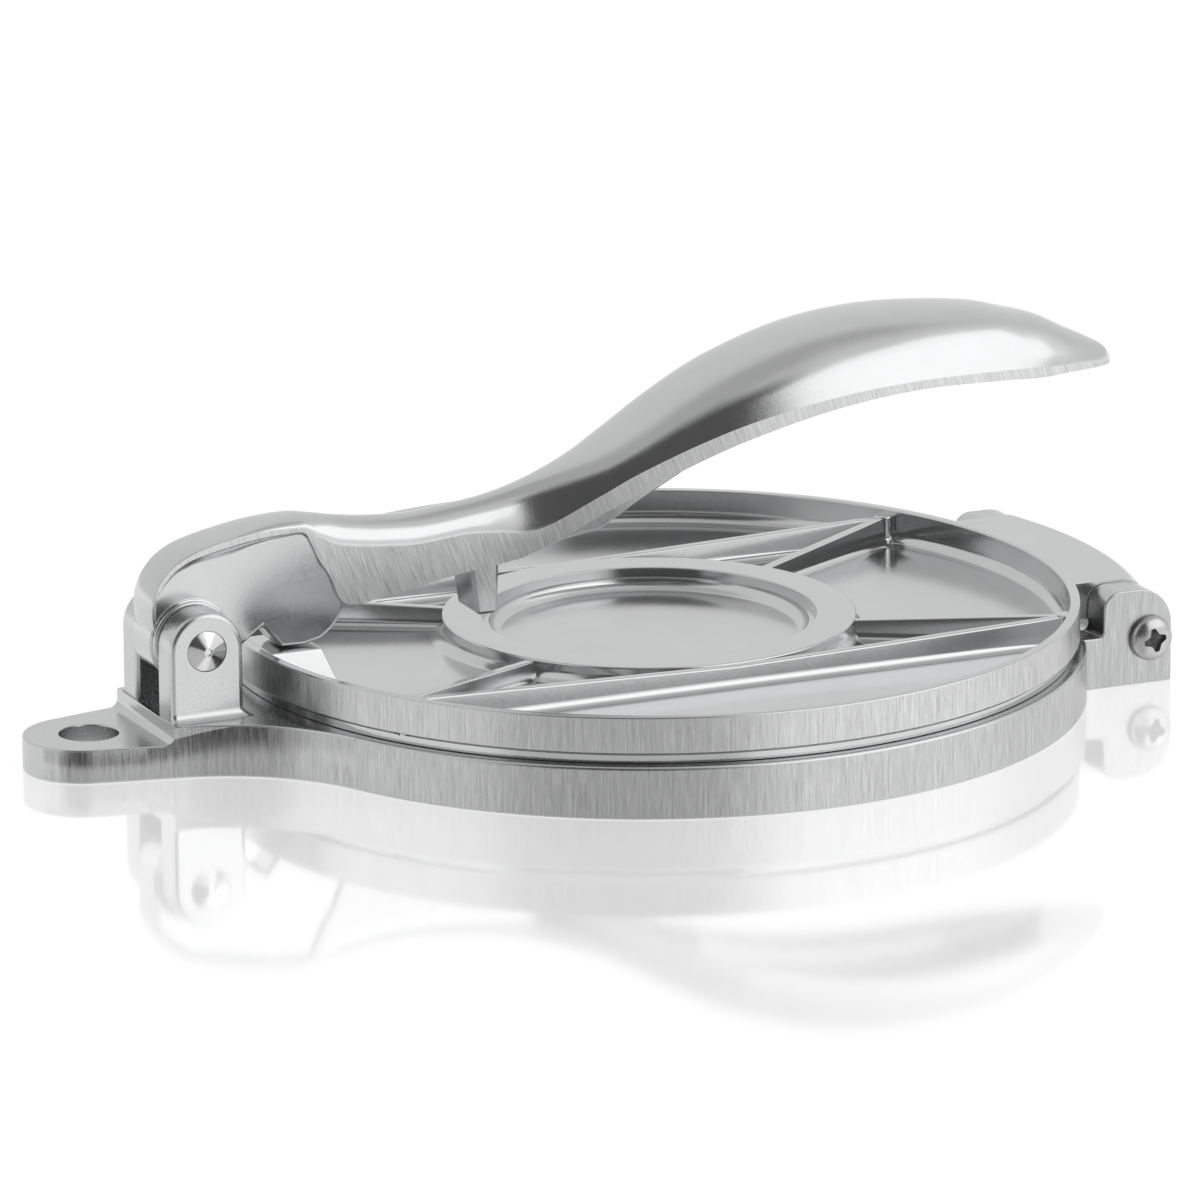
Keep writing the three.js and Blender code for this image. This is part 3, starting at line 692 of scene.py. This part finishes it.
cut(barrel, drill("screw_bore", (hinge.x, 0, hinge.z), screw_hole, 3 * knuckle_half, axis="Y"))
web = panel("barrel_web", [
    (hinge.x - knuckle_radius + sunk, hinge.z), (hinge.x + knuckle_radius - sunk, hinge.z),
    (hinge.x + knuckle_radius - sunk, flange_bottom + past),
    (hinge.x - knuckle_radius + sunk, flange_bottom + past),
], -knuckle_half + sunk, knuckle_half - sunk)
cut(web, drill("web_disc", middle, knuckle_reach, plate_height * 6, sides=round_steps),
    "INTERSECT")
cut(web, drill("bore_room", (hinge.x, 0, hinge.z), screw_hole, 3 * knuckle_half, axis="Y"))
for piece in (barrel, web):
    rounded(piece, rim_edge / 2, above=50)
    dressed(piece, "lid", "cast_aluminium", lid_cast)
    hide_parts("lid_casting")


# Lever: one long casting. A strap runs up over the back of the head and on into the arm, a narrow
# bar with upright ground sides; the arm widens and rises into a domed handle, hollow beneath,
# with a ground lip along its lower edge.
lever_half = 0.0062
cheek_depth = 0.0011
# Rows from under the pin to the handle's tip: reach and height about the pin of the crown, the same
# of the lower edge, the half width, the crown's fall to its sides and the strap's foot fillet
lever_line = [
    (-0.0040, -0.0078, -0.0036, -0.0066, 0.0054, 0.0005, 0.0012),
    (-0.0064, -0.0050, -0.0056, -0.0042, 0.0054, 0.0005, 0.0012),
    (-0.0082, -0.0016, -0.0072, -0.0010, 0.0055, 0.0005, 0.0014),
    (-0.0092, 0.0024, -0.0082, 0.0028, 0.0056, 0.0005, 0.0016),
    (-0.0097, 0.0060, -0.0086, 0.0063, 0.0056, 0.0005, 0.0016),
    (-0.0096, 0.0096, -0.0084, 0.0095, 0.0057, 0.0005, 0.0018),
    (-0.0084, 0.0132, -0.0071, 0.0127, 0.0058, 0.0005, 0.0020),
    (-0.0068, 0.0156, -0.0055, 0.0148, 0.0059, 0.0005, 0.0022),
    (-0.0047, 0.0178, -0.0037, 0.0166, 0.0060, 0.0005, 0.0022),
    (-0.0020, 0.0195, -0.0013, 0.0181, 0.0061, 0.0005, 0.0022),
    (0.0008, 0.0207, 0.0013, 0.0191, 0.0062, 0.0005, 0.0022),
    (0.0054, 0.0220, 0.0058, 0.0202, 0.0062, 0.0005, 0.0022),
    (0.0103, 0.0231, 0.0107, 0.0211, 0.0062, 0.0006, 0.0020),
    (0.0140, 0.0240, 0.0143, 0.0217, 0.0062, 0.0009, 0.0016),
    (0.0180, 0.0248, 0.0182, 0.0221, 0.0062, 0.0014, 0.0012),
    (0.0225, 0.0253, 0.0226, 0.0223, 0.0062, 0.0019, 0.0010),
    (0.0270, 0.0254, 0.0272, 0.0221, 0.0062, 0.0023, 0.0008),
    (0.0290, 0.0252, 0.0292, 0.0190, 0.0062, 0.0031, 0.0008),
    (0.0308, 0.0249, 0.0308, 0.0154, 0.0062, 0.0041, 0.0008),
    (0.0330, 0.0245, 0.0333, 0.0115, 0.0062, 0.0051, 0.0008),
    (0.0360, 0.0239, 0.0362, 0.0052, 0.0062, 0.0059, 0.0004),
    (0.0405, 0.0232, 0.0406, 0.0041, 0.0062, 0.0060, 0),
    (0.0456, 0.0226, 0.0456, 0.0049, 0.0062, 0.0060, 0),
    (0.0553, 0.0222, 0.0553, 0.0066, 0.0062, 0.0062, 0),
    (0.0667, 0.0232, 0.0667, 0.0084, 0.0062, 0.0062, 0),
    (0.0746, 0.0243, 0.0746, 0.0095, 0.0067, 0.0075, 0),
    (0.0838, 0.0266, 0.0838, 0.0122, 0.0084, 0.0096, 0),
    (0.0971, 0.0311, 0.0971, 0.0194, 0.0118, 0.0072, 0),
    (0.1061, 0.0357, 0.1061, 0.0240, 0.0138, 0.0070, 0),
    (0.1197, 0.0436, 0.1197, 0.0305, 0.0166, 0.0090, 0),
    (0.1336, 0.0501, 0.1336, 0.0357, 0.0191, 0.0108, 0),
    (0.1527, 0.0558, 0.1527, 0.0405, 0.0209, 0.0126, 0),
    (0.1728, 0.0578, 0.1728, 0.0427, 0.0210, 0.0130, 0),
    (0.1941, 0.0564, 0.1941, 0.0420, 0.0188, 0.0121, 0),
    (0.2057, 0.0538, 0.2057, 0.0408, 0.0160, 0.0105, 0),
    (0.2125, 0.0517, 0.2125, 0.0405, 0.0136, 0.0092, 0),
    (0.2185, 0.0487, 0.2185, 0.0401, 0.0110, 0.0070, 0),
    (0.2254, 0.0452, 0.2254, 0.0394, 0.0072, 0.0048, 0),
    (0.2293, 0.0429, 0.2293, 0.0390, 0.0040, 0.0032, 0),
    (0.2312, 0.0404, 0.2312, 0.0387, 0.0010, 0.0012, 0),
]
lever_rows = 220
crown_points = 18
lip_points = 3
foot_points = 5
roof_points = 14
handle_wall = 0.0026
hollow_opening = (0.0972, 0.118)
hollow_closing = (0.2115, 0.2235)
crown_lean = 66
crown_fullness = 0.66
flank_share = 0.7
round_pull = 0.552
widening = (0.062, 0.1)
narrowing = (0.195, 0.228)
narrowing_share = 0.7
foot_full = 0.0008
wall_share = 0.45
ridge_share = 0.1
roof_wall_share = 1.2
roof_power = 0.8
lever_crease = 17


def eased(value, low, high):
    """0 below low, 1 above high, and a smooth rise between."""
    share = min(max((value - low) / (high - low), 0), 1)
    return share * share * (3 - 2 * share)


def along_curve(table, share):
    """A smooth curve through a table's rows, from its first row at 0 to its last at 1."""
    place = share * (len(table) - 1)
    row = min(int(place), len(table) - 2)
    t = place - row
    before, here = table[max(row - 1, 0)], table[row]
    there, after = table[row + 1], table[min(row + 2, len(table) - 1)]
    return [
        b + 0.5 * t * ((c - a) + t * ((2 * a - 5 * b + 4 * c - d) + t * (3 * b - a - 3 * c + d)))
        for a, b, c, d in zip(before, here, there, after)]


def lever_section(share):
    """The lever's closed outline at one station, as points round from the crown."""
    top_x, top_z, low_x, low_z, half, drop, foot = along_curve(lever_line, share)
    top, low = Vector((top_x, 0, top_z)), Vector((low_x, 0, low_z))
    down = (low - top).normalized()
    deep = (low - top).length
    spread_out = eased(top_x, *widening) * (1 - narrowing_share * eased(top_x, *narrowing))
    lean = math.radians(90 - (90 - crown_lean) * spread_out)
    hollow = eased(top_x, *hollow_opening) * (1 - eased(top_x, *hollow_closing))
    wall = min(handle_wall, half * wall_share)
    pull = round_pull + (crown_fullness - round_pull) * spread_out
    flank = (round_pull + (flank_share - round_pull) * spread_out) * drop
    shoulder = [(0, 0), (half * pull, 0),
                (half - flank / math.tan(lean), drop - flank), (half, drop)]
    side = []
    for i in range(crown_points + 1):
        t = i / crown_points
        weights = ((1 - t) ** 3, 3 * t * (1 - t) ** 2, 3 * t * t * (1 - t), t ** 3)
        side.append(tuple(sum(w * point[axis] for w, point in zip(weights, shoulder))
                          for axis in (0, 1)))
    for i in range(1, lip_points + 1):
        side.append((half, drop + (deep - drop) * i / lip_points))
    for i in range(1, foot_points + 1):
        turn = math.pi / 2 * i / foot_points
        side.append((half - cheek_depth * min(foot / foot_full, 1) * math.sin(turn),
                     deep + foot * (1 - math.cos(turn))))
    floor_half, floor_deep = side[-1]
    for i in range(roof_points + 1):
        turn = math.pi / 2 * i / roof_points
        across = max(floor_half - wall * hollow, floor_half * ridge_share)
        rise = hollow * max(floor_deep - wall * roof_wall_share, 0)
        side.append((across * math.cos(turn) ** roof_power,
                     floor_deep - rise * math.sin(turn) ** roof_power))
    loop = side + [(-across, depth) for across, depth in reversed(side[1:-1])]
    return [top + down * depth + Vector((0, across, 0)) for across, depth in loop]


sections = [lever_section(i / (lever_rows - 1)) for i in range(lever_rows)]
round_count = len(sections[0])
bpy.ops.object.select_all(action="DESELECT")
bpy.ops.mesh.primitive_grid_add(
    x_subdivisions=lever_rows - 1, y_subdivisions=round_count, size=1, location=(0, 0, 0))
lever = bpy.context.object
lever.name = "lever_strap_arm_and_handle"
lever_cast = cast_finish("lever_aluminium_polished", (0.6, 0.604, 0.608), 0.18)
ground_lever = ground_finish("ground_lever_side", (0.79, 0.793, 0.796), 0.32, lean=0.35)
lever.data.materials.append(lever_cast)
lever.data.materials.append(ground_lever)
for face in lever.data.polygons:
    turn = min(0.5 + face.center.y, 0.5 - face.center.y) * round_count
    face.material_index = int(crown_points < turn < crown_points + lip_points)
for vertex in lever.data.vertices:
    station = round((vertex.co.x + 0.5) * (lever_rows - 1))
    turn = round((vertex.co.y + 0.5) * round_count) % round_count
    vertex.co = pivot + sections[station][turn]
bpy.ops.object.mode_set(mode="EDIT")
bpy.ops.mesh.select_all(action="SELECT")
bpy.ops.mesh.remove_doubles(threshold=sunk / 20)
bpy.ops.mesh.select_all(action="DESELECT")
bpy.ops.mesh.select_mode(type="EDGE")
bpy.ops.mesh.select_non_manifold()
bpy.ops.mesh.fill()
out_of_edit(lever)
smoothed(lever, lever_crease)
dressed(lever, "lever", "cast_aluminium")
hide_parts("lever_casting")


# Lever head: the flat end that turns on the pin between the ears. Its cheeks are let in between
# the strap and the round boss about the pin, and a lobe below bears on the lid's push block.
head_edge = 0.0009
boss_round = 0.00925
boss_edge = 0.0006
head_outline = [
    (0.0036, -0.0085), (-0.0036, -0.0070), (-0.0060, -0.0046), (-0.0077, -0.0013),
    (-0.0087, 0.0026), (-0.0091, 0.0061), (-0.0090, 0.0095), (-0.0078, 0.0129),
    (-0.0062, 0.0152), (-0.0042, 0.0172),
    (-0.0017, 0.0188), (0.0010, 0.0199), (0.0056, 0.0211), (0.0105, 0.0220), (0.0142, 0.0227),
    (0.0182, 0.0233), (0.0226, 0.0236), (0.0285, 0.0236), (0.0306, 0.0200), (0.0322, 0.0160),
    (0.0348, 0.0120), (0.0372, 0.0070), (0.0368, 0.0036), (0.0360, 0.0010), (0.0343, -0.0012),
    (0.0316, -0.0033), (0.0275, -0.0043), (0.0218, -0.0042), (0.0175, 0.0012),
    (0.0122, -0.0027),
]
cheek_face = lever_half - cheek_depth
head = panel("lever_head", [(pivot.x + x, pivot.z + z) for x, z in head_outline],
             -cheek_face, cheek_face)
cut(head, drill("pin_bore", (pivot.x, 0, pivot.z), pin_hole, 4 * lever_half, axis="Y"))
rounded(head, head_edge, above=40)
dressed(head, "lever", "cast_aluminium", lever_cast)
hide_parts("lever_casting")
boss_side = [
    (pin_radius + pin_gap, lever_half),
    *arc(boss_round - boss_edge, lever_half - boss_edge, boss_edge, 90, 0, 4),
    *arc(boss_round + boss_edge, cheek_face + boss_edge / 2, boss_edge / 2, 180, 270, 4),
]
boss = spun("lever_boss", boss_side + [(r, -h) for r, h in reversed(boss_side)]
            + [boss_side[0]], pivot, axis=(0, 1, 0), outward=(1, 0, 0), steps=72)
smoothed(boss)
dressed(boss, "lever", "cast_aluminium", lever_cast)
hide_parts("lever_casting")


# Post and web: a square stub under the arm, a stop that ends over the lid's ring, and the thin web
# that runs up from the arm under the handle.
post_span = 0.0702
post_foot_near = -0.0008
post_foot_far = 0.0044
post_foot_half = 0.0056
post_top_near = -0.0028
post_top_far = 0.0046
post_foot = 0.0254
post_top = 0.040
post_edge = 0.0004
post_corner = 0.0008
web_half = 0.0016
post_x = pivot.x + post_span
post = slab("lever_post", [
    (post_x + post_foot_near, -post_foot_half), (post_x + post_foot_far, -post_foot_half),
    (post_x + post_foot_far, post_foot_half), (post_x + post_foot_near, post_foot_half),
], post_foot, post_top)
for vertex in post.data.vertices:
    if vertex.co.z > post_foot + past:
        vertex.co.x = post_x + (post_top_near if vertex.co.x < post_x + past else post_top_far)
        vertex.co.y = math.copysign(lever_half - sunk, vertex.co.y)
rounded(post, post_corner, segments=1)
dressed(post, "lever", "cast_aluminium", lever_cast, ground_lever)
for face in post.data.polygons:
    face.material_index = int(abs(face.normal.y) > facing)
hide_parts("lever_casting")
web_outline = [
    (0.0734, 0.0084), (0.0818, 0.0085), (0.0921, 0.0118), (0.1020, 0.0135), (0.1116, 0.0190),
    (0.1229, 0.0248), (0.1270, 0.0328), (0.1230, 0.0421), (0.0971, 0.0269), (0.0734, 0.0140),
]
web = panel("lever_web", [(pivot.x + x, pivot.z + z) for x, z in web_outline],
            -web_half, web_half)
rounded(web, post_edge)
dressed(web, "lever", "cast_aluminium", lever_cast)
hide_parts("lever_casting")


# Lever pin: a steel pin, pressed through the ears and turned to a shallow polished cone at each
# end, with a small hole at the centre.
pin_cone = 0.0015
cone_top_share = 0.75
hole_floor_share = 0.4
centre_hole = 0.0011
hole_wall_share = 0.8
hole_end_share = 0.6
pin_chamfer = 0.0003
pin_half = ear_gap + ear_thick
pin_finish, pin_tree, pin_shader, pin_add = finish_nodes("turned_steel", (0.64, 0.64, 0.645), 0.1)
pin_place = pin_add("ShaderNodeTexCoord").outputs["Object"]
pin_centred = pin_add("ShaderNodeMapping", {
    "Vector": pin_place, "Location": (-pivot.x, 0, -pivot.z)}).outputs["Vector"]
pin_around = pin_add("ShaderNodeVectorMath", {0: pin_centred, 1: (0, 1, 0)},
                     operation="CROSS_PRODUCT").outputs[0]
pin_around = pin_add("ShaderNodeVectorMath", {0: pin_around}, operation="NORMALIZE").outputs[0]
pin_tree.links.new(pin_around, pin_shader.inputs["Tangent"])
pin_shader.inputs["Anisotropic"].default_value = 0.4
pin_spots = pin_add("ShaderNodeTexNoise", {
    "Vector": pin_centred, "Scale": 900.0, "Detail": 2.0}).outputs["Fac"]
pin_tree.links.new(spread(pin_add, pin_spots, 0.07, 0.13), pin_shader.inputs["Roughness"])
cone_top = pin_half + pin_cone * cone_top_share
hole_floor = pin_half + pin_cone * hole_floor_share
pin_face = [
    (0, hole_floor), (centre_hole * hole_end_share, hole_floor),
    (centre_hole * hole_wall_share, cone_top), (centre_hole, cone_top),
    (pin_radius - pin_chamfer / 2, pin_half), (pin_radius, pin_half - pin_chamfer / 2),
]
pin = spun("lever_pin_turned", pin_face + [(r, -h) for r, h in reversed(pin_face)],
           Vector((pivot.x, 0, pivot.z)), axis=(0, 1, 0), outward=(1, 0, 0), steps=64)
smoothed(pin)
dressed(pin, "base", "turned_steel", pin_finish)
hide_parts("lever_pin")


# Hinge screws: zinc-plated pan-head screws with a cross recess, one through each lug into the
# barrel of the lid's tongue; the floor of the recess is painted near-black as painted shade.
head_radius = 0.0052
head_height = 0.0031
head_side = 0.0005
cross_length = 0.0056
cross_width = 0.0024
cross_tip = 0.001
cross_turn = 12
cross_depth = 0.0014
dome_step = 9
screw_hold = 0.011
screw_seat = lug_outer + pin_gap
screw_tip = knuckle_half - screw_hold
face_at = screw_seat + head_height


def clouded_finish(name, colour, roughness, scale, detail, low, high):
    """Plated steel, or a near-black painted shade, with a roughness that varies in clouds."""
    material, tree, shader, add = finish_nodes(name, colour, roughness)
    place = add("ShaderNodeTexCoord").outputs["Object"]
    clouds = add("ShaderNodeTexNoise", {
        "Vector": place, "Scale": scale, "Detail": detail}).outputs["Fac"]
    tree.links.new(spread(add, clouds, low, high), shader.inputs["Roughness"])
    return material


zinc = clouded_finish("zinc_plate", (0.5, 0.5, 0.505), 0.2, 500.0, 3.0, 0.16, 0.34)
# The cross recess's floor: near-black painted shade that stands in for the shadow inside the
# recess.
recess = clouded_finish("recess_shadow", (0.1, 0.1, 0.1), 0.5, 800.0, 2.0, 0.4, 0.7)
screw_profile = [
    (0, screw_tip), (screw_radius - pin_chamfer, screw_tip),
    (screw_radius, screw_tip + pin_chamfer), (screw_radius, screw_seat),
    (head_radius - pin_chamfer, screw_seat), (head_radius, screw_seat + pin_chamfer),
    *[(head_radius * math.cos(math.radians(a)),
       screw_seat + head_side + (head_height - head_side) * math.sin(math.radians(a)))
      for a in range(0, 90, dome_step)],
    (0, face_at),
]
slot_outline = [
    (cross_length / 2, cross_tip / 2), (cross_width / 2, cross_width / 2),
    (-cross_width / 2, cross_width / 2), (-cross_length / 2, cross_tip / 2),
]
slot_outline += [(x, -z) for x, z in reversed(slot_outline)]
for side, word in both_sides:
    screw = spun(f"hinge_screw_pan_{word}", screw_profile, Vector((hinge.x, 0, hinge.z)),
                 axis=(0, side, 0), steps=64)
    for turn in (cross_turn, cross_turn + 90):
        deep, proud = sorted((side * (face_at - cross_depth), side * (face_at + past)))
        turned = Matrix.Rotation(math.radians(turn), 2)
        cut(screw, panel("cross_cutter", [
            (hinge.x + (turned @ Vector(corner)).x, hinge.z + (turned @ Vector(corner)).y)
            for corner in slot_outline], deep, proud))
    smoothed(screw)
    dressed(screw, "base", "zinc_steel", zinc, recess)
    # The faces at the floor of the cross recess take the near-black painted shade.
    for face in screw.data.polygons:
        if abs(abs(face.center.y) - (face_at - cross_depth)) < sunk:
            face.material_index = 1
    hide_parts(f"hinge_screw_{word}")


# Camera: a long lens, low and to the left of the press, held at the photograph's own angle.
camera_turn = math.radians(-23.928)
camera_rise = math.radians(15.455)
camera_roll = math.radians(-0.314)
camera_distance = 2.3
camera_right = -0.01125
camera_up = 0.021587
lens = 301.64
sensor = 36
sight = 50
backward = Vector((math.sin(camera_turn) * math.cos(camera_rise),
                   -math.cos(camera_turn) * math.cos(camera_rise), math.sin(camera_rise)))
level = Vector((0, 0, 1)).cross(backward).normalized()
upright = backward.cross(level)
rightward = level * math.cos(camera_roll) + upright * math.sin(camera_roll)
upward = upright * math.cos(camera_roll) - level * math.sin(camera_roll)
camera_at = (middle + rightward * camera_right + upward * camera_up
             + backward * camera_distance)
bpy.ops.object.camera_add()
camera = bpy.context.object
camera.name = "photo_camera"
camera.matrix_world = Matrix((
    (rightward.x, upward.x, backward.x, camera_at.x),
    (rightward.y, upward.y, backward.y, camera_at.y),
    (rightward.z, upward.z, backward.z, camera_at.z),
    (0, 0, 0, 1)))
camera.data.lens = lens
camera.data.sensor_width = sensor
camera.data.clip_end = sight
bpy.context.scene.camera = camera


# Floor and studio: a glossy white floor in a white room that darkens overhead, with a broad soft
# lamp at the front right and a dark opening at the front left, where the camera stands.
floor_size = 6.0
floor_colour = 0.8
floor_glow = 0.45
floor_mirror = 0.35
floor_gloss = 1.8
room_wall = 0.86
room_above = 0.6
lamp_halo = 0.3
room_fill = 0.4
opening_heading = math.radians(239)
opening_half = 32
opening_blur = 5
opening_level = 0.1
opening_top = (0.8, 0.97)
ceiling = (0.72, 0.92)
halo_outside = 55
halo_inside = 25
lamp_heading = math.radians(314)
lamp_height = math.radians(38)
lamp_distance = 1.5
lamp_width = 1.75
lamp_depth = 1.1
lamp_power = 3.2
bpy.ops.object.select_all(action="DESELECT")
bpy.ops.mesh.primitive_plane_add(size=floor_size, location=(0, 0, 0))
floor = bpy.context.object
floor.name = "studio_floor"
floor_material, floor_tree, floor_shader, floor_add = finish_nodes(
    "white_floor", (floor_colour, floor_colour, floor_colour), 0.07,
    metallic=floor_mirror)
floor_shader.inputs["IOR"].default_value = floor_gloss
floor_shader.inputs["Emission Color"].default_value = (1, 1, 1, 1)


def seen_directly(add):
    """1 for what the camera sees, straight or mirrored, and 0 for plain light; and 1 for what it
    sees straight."""
    ray = add("ShaderNodeLightPath").outputs
    mirrored = add("ShaderNodeMath", {0: ray["Is Glossy Ray"], 1: ray["Is Transmission Ray"]},
                   operation="MAXIMUM").outputs[0]
    return add("ShaderNodeMath", {0: ray["Is Camera Ray"], 1: mirrored},
               operation="MAXIMUM").outputs[0], ray["Is Camera Ray"]


floor_seen, _ = seen_directly(floor_add)
floor_lit = floor_add("ShaderNodeMath", {0: floor_seen, 1: floor_glow}, operation="MULTIPLY")
floor_tree.links.new(floor_lit.outputs[0], floor_shader.inputs["Emission Strength"])
floor.data.materials.append(floor_material)

world = bpy.data.worlds.new("studio")
bpy.context.scene.world = world
world.use_nodes = True
surround = world.node_tree.nodes["Background"]
sky = node_adder(world.node_tree)


def graded(value, low, high, at_low, at_high):
    """A smooth change of one value from low to high."""
    return sky("ShaderNodeMapRange", {
        "Value": value, "From Min": low, "From Max": high, "To Min": at_low, "To Max": at_high,
    }, interpolation_type="SMOOTHSTEP").outputs["Result"]


heading = sky("ShaderNodeTexCoord").outputs["Generated"]
height = sky("ShaderNodeSeparateXYZ", {"Vector": heading}).outputs["Z"]
room = graded(height, *ceiling, room_wall, room_above)
level_heading = sky("ShaderNodeVectorMath", {0: heading, 1: (1, 1, 0)},
                    operation="MULTIPLY").outputs[0]
level_heading = sky("ShaderNodeVectorMath", {0: level_heading}, operation="NORMALIZE").outputs[0]
to_opening = sky("ShaderNodeVectorMath", {
    0: level_heading, 1: (math.cos(opening_heading), math.sin(opening_heading), 0)},
    operation="DOT_PRODUCT").outputs["Value"]
opening = graded(to_opening, math.cos(math.radians(opening_half + opening_blur)),
                 math.cos(math.radians(opening_half - opening_blur)), 1.0, opening_level)
over_opening = graded(height, *opening_top, 0.0, 1.0)
opening = sky("ShaderNodeMix", {0: over_opening, 2: opening, 3: 1.0}).outputs[0]
lamp_towards = (math.cos(lamp_heading) * math.cos(lamp_height),
                math.sin(lamp_heading) * math.cos(lamp_height), math.sin(lamp_height))
to_lamp = sky("ShaderNodeVectorMath", {0: heading, 1: lamp_towards},
              operation="DOT_PRODUCT").outputs["Value"]
halo = graded(to_lamp, math.cos(math.radians(halo_outside)), math.cos(math.radians(halo_inside)),
              0.0, lamp_halo)
room = sky("ShaderNodeMath", {0: room, 1: halo}, operation="ADD").outputs[0]
lit = sky("ShaderNodeMath", {0: room, 1: opening}, operation="MULTIPLY").outputs[0]
seen, direct = seen_directly(sky)
indoors = sky("ShaderNodeMix", {0: seen, 2: room_fill, 3: lit}).outputs[0]
strength = sky("ShaderNodeMix", {0: direct, 2: indoors, 3: 1.0}).outputs[0]
surround.inputs["Color"].default_value = (1, 1, 1, 1)
world.node_tree.links.new(strength, surround.inputs["Strength"])

lamp_at = Vector(lamp_towards) * lamp_distance
bpy.ops.object.light_add(type="AREA", location=lamp_at)
lamp = bpy.context.object
lamp.name = "lamp_front_right"
lamp.data.shape = "RECTANGLE"
lamp.data.size = lamp_width
lamp.data.size_y = lamp_depth
lamp.data.energy = lamp_power
lamp.rotation_euler = lamp_at.to_track_quat("Z", "Y").to_euler()
bpy.context.scene.view_settings.view_transform = "Standard"
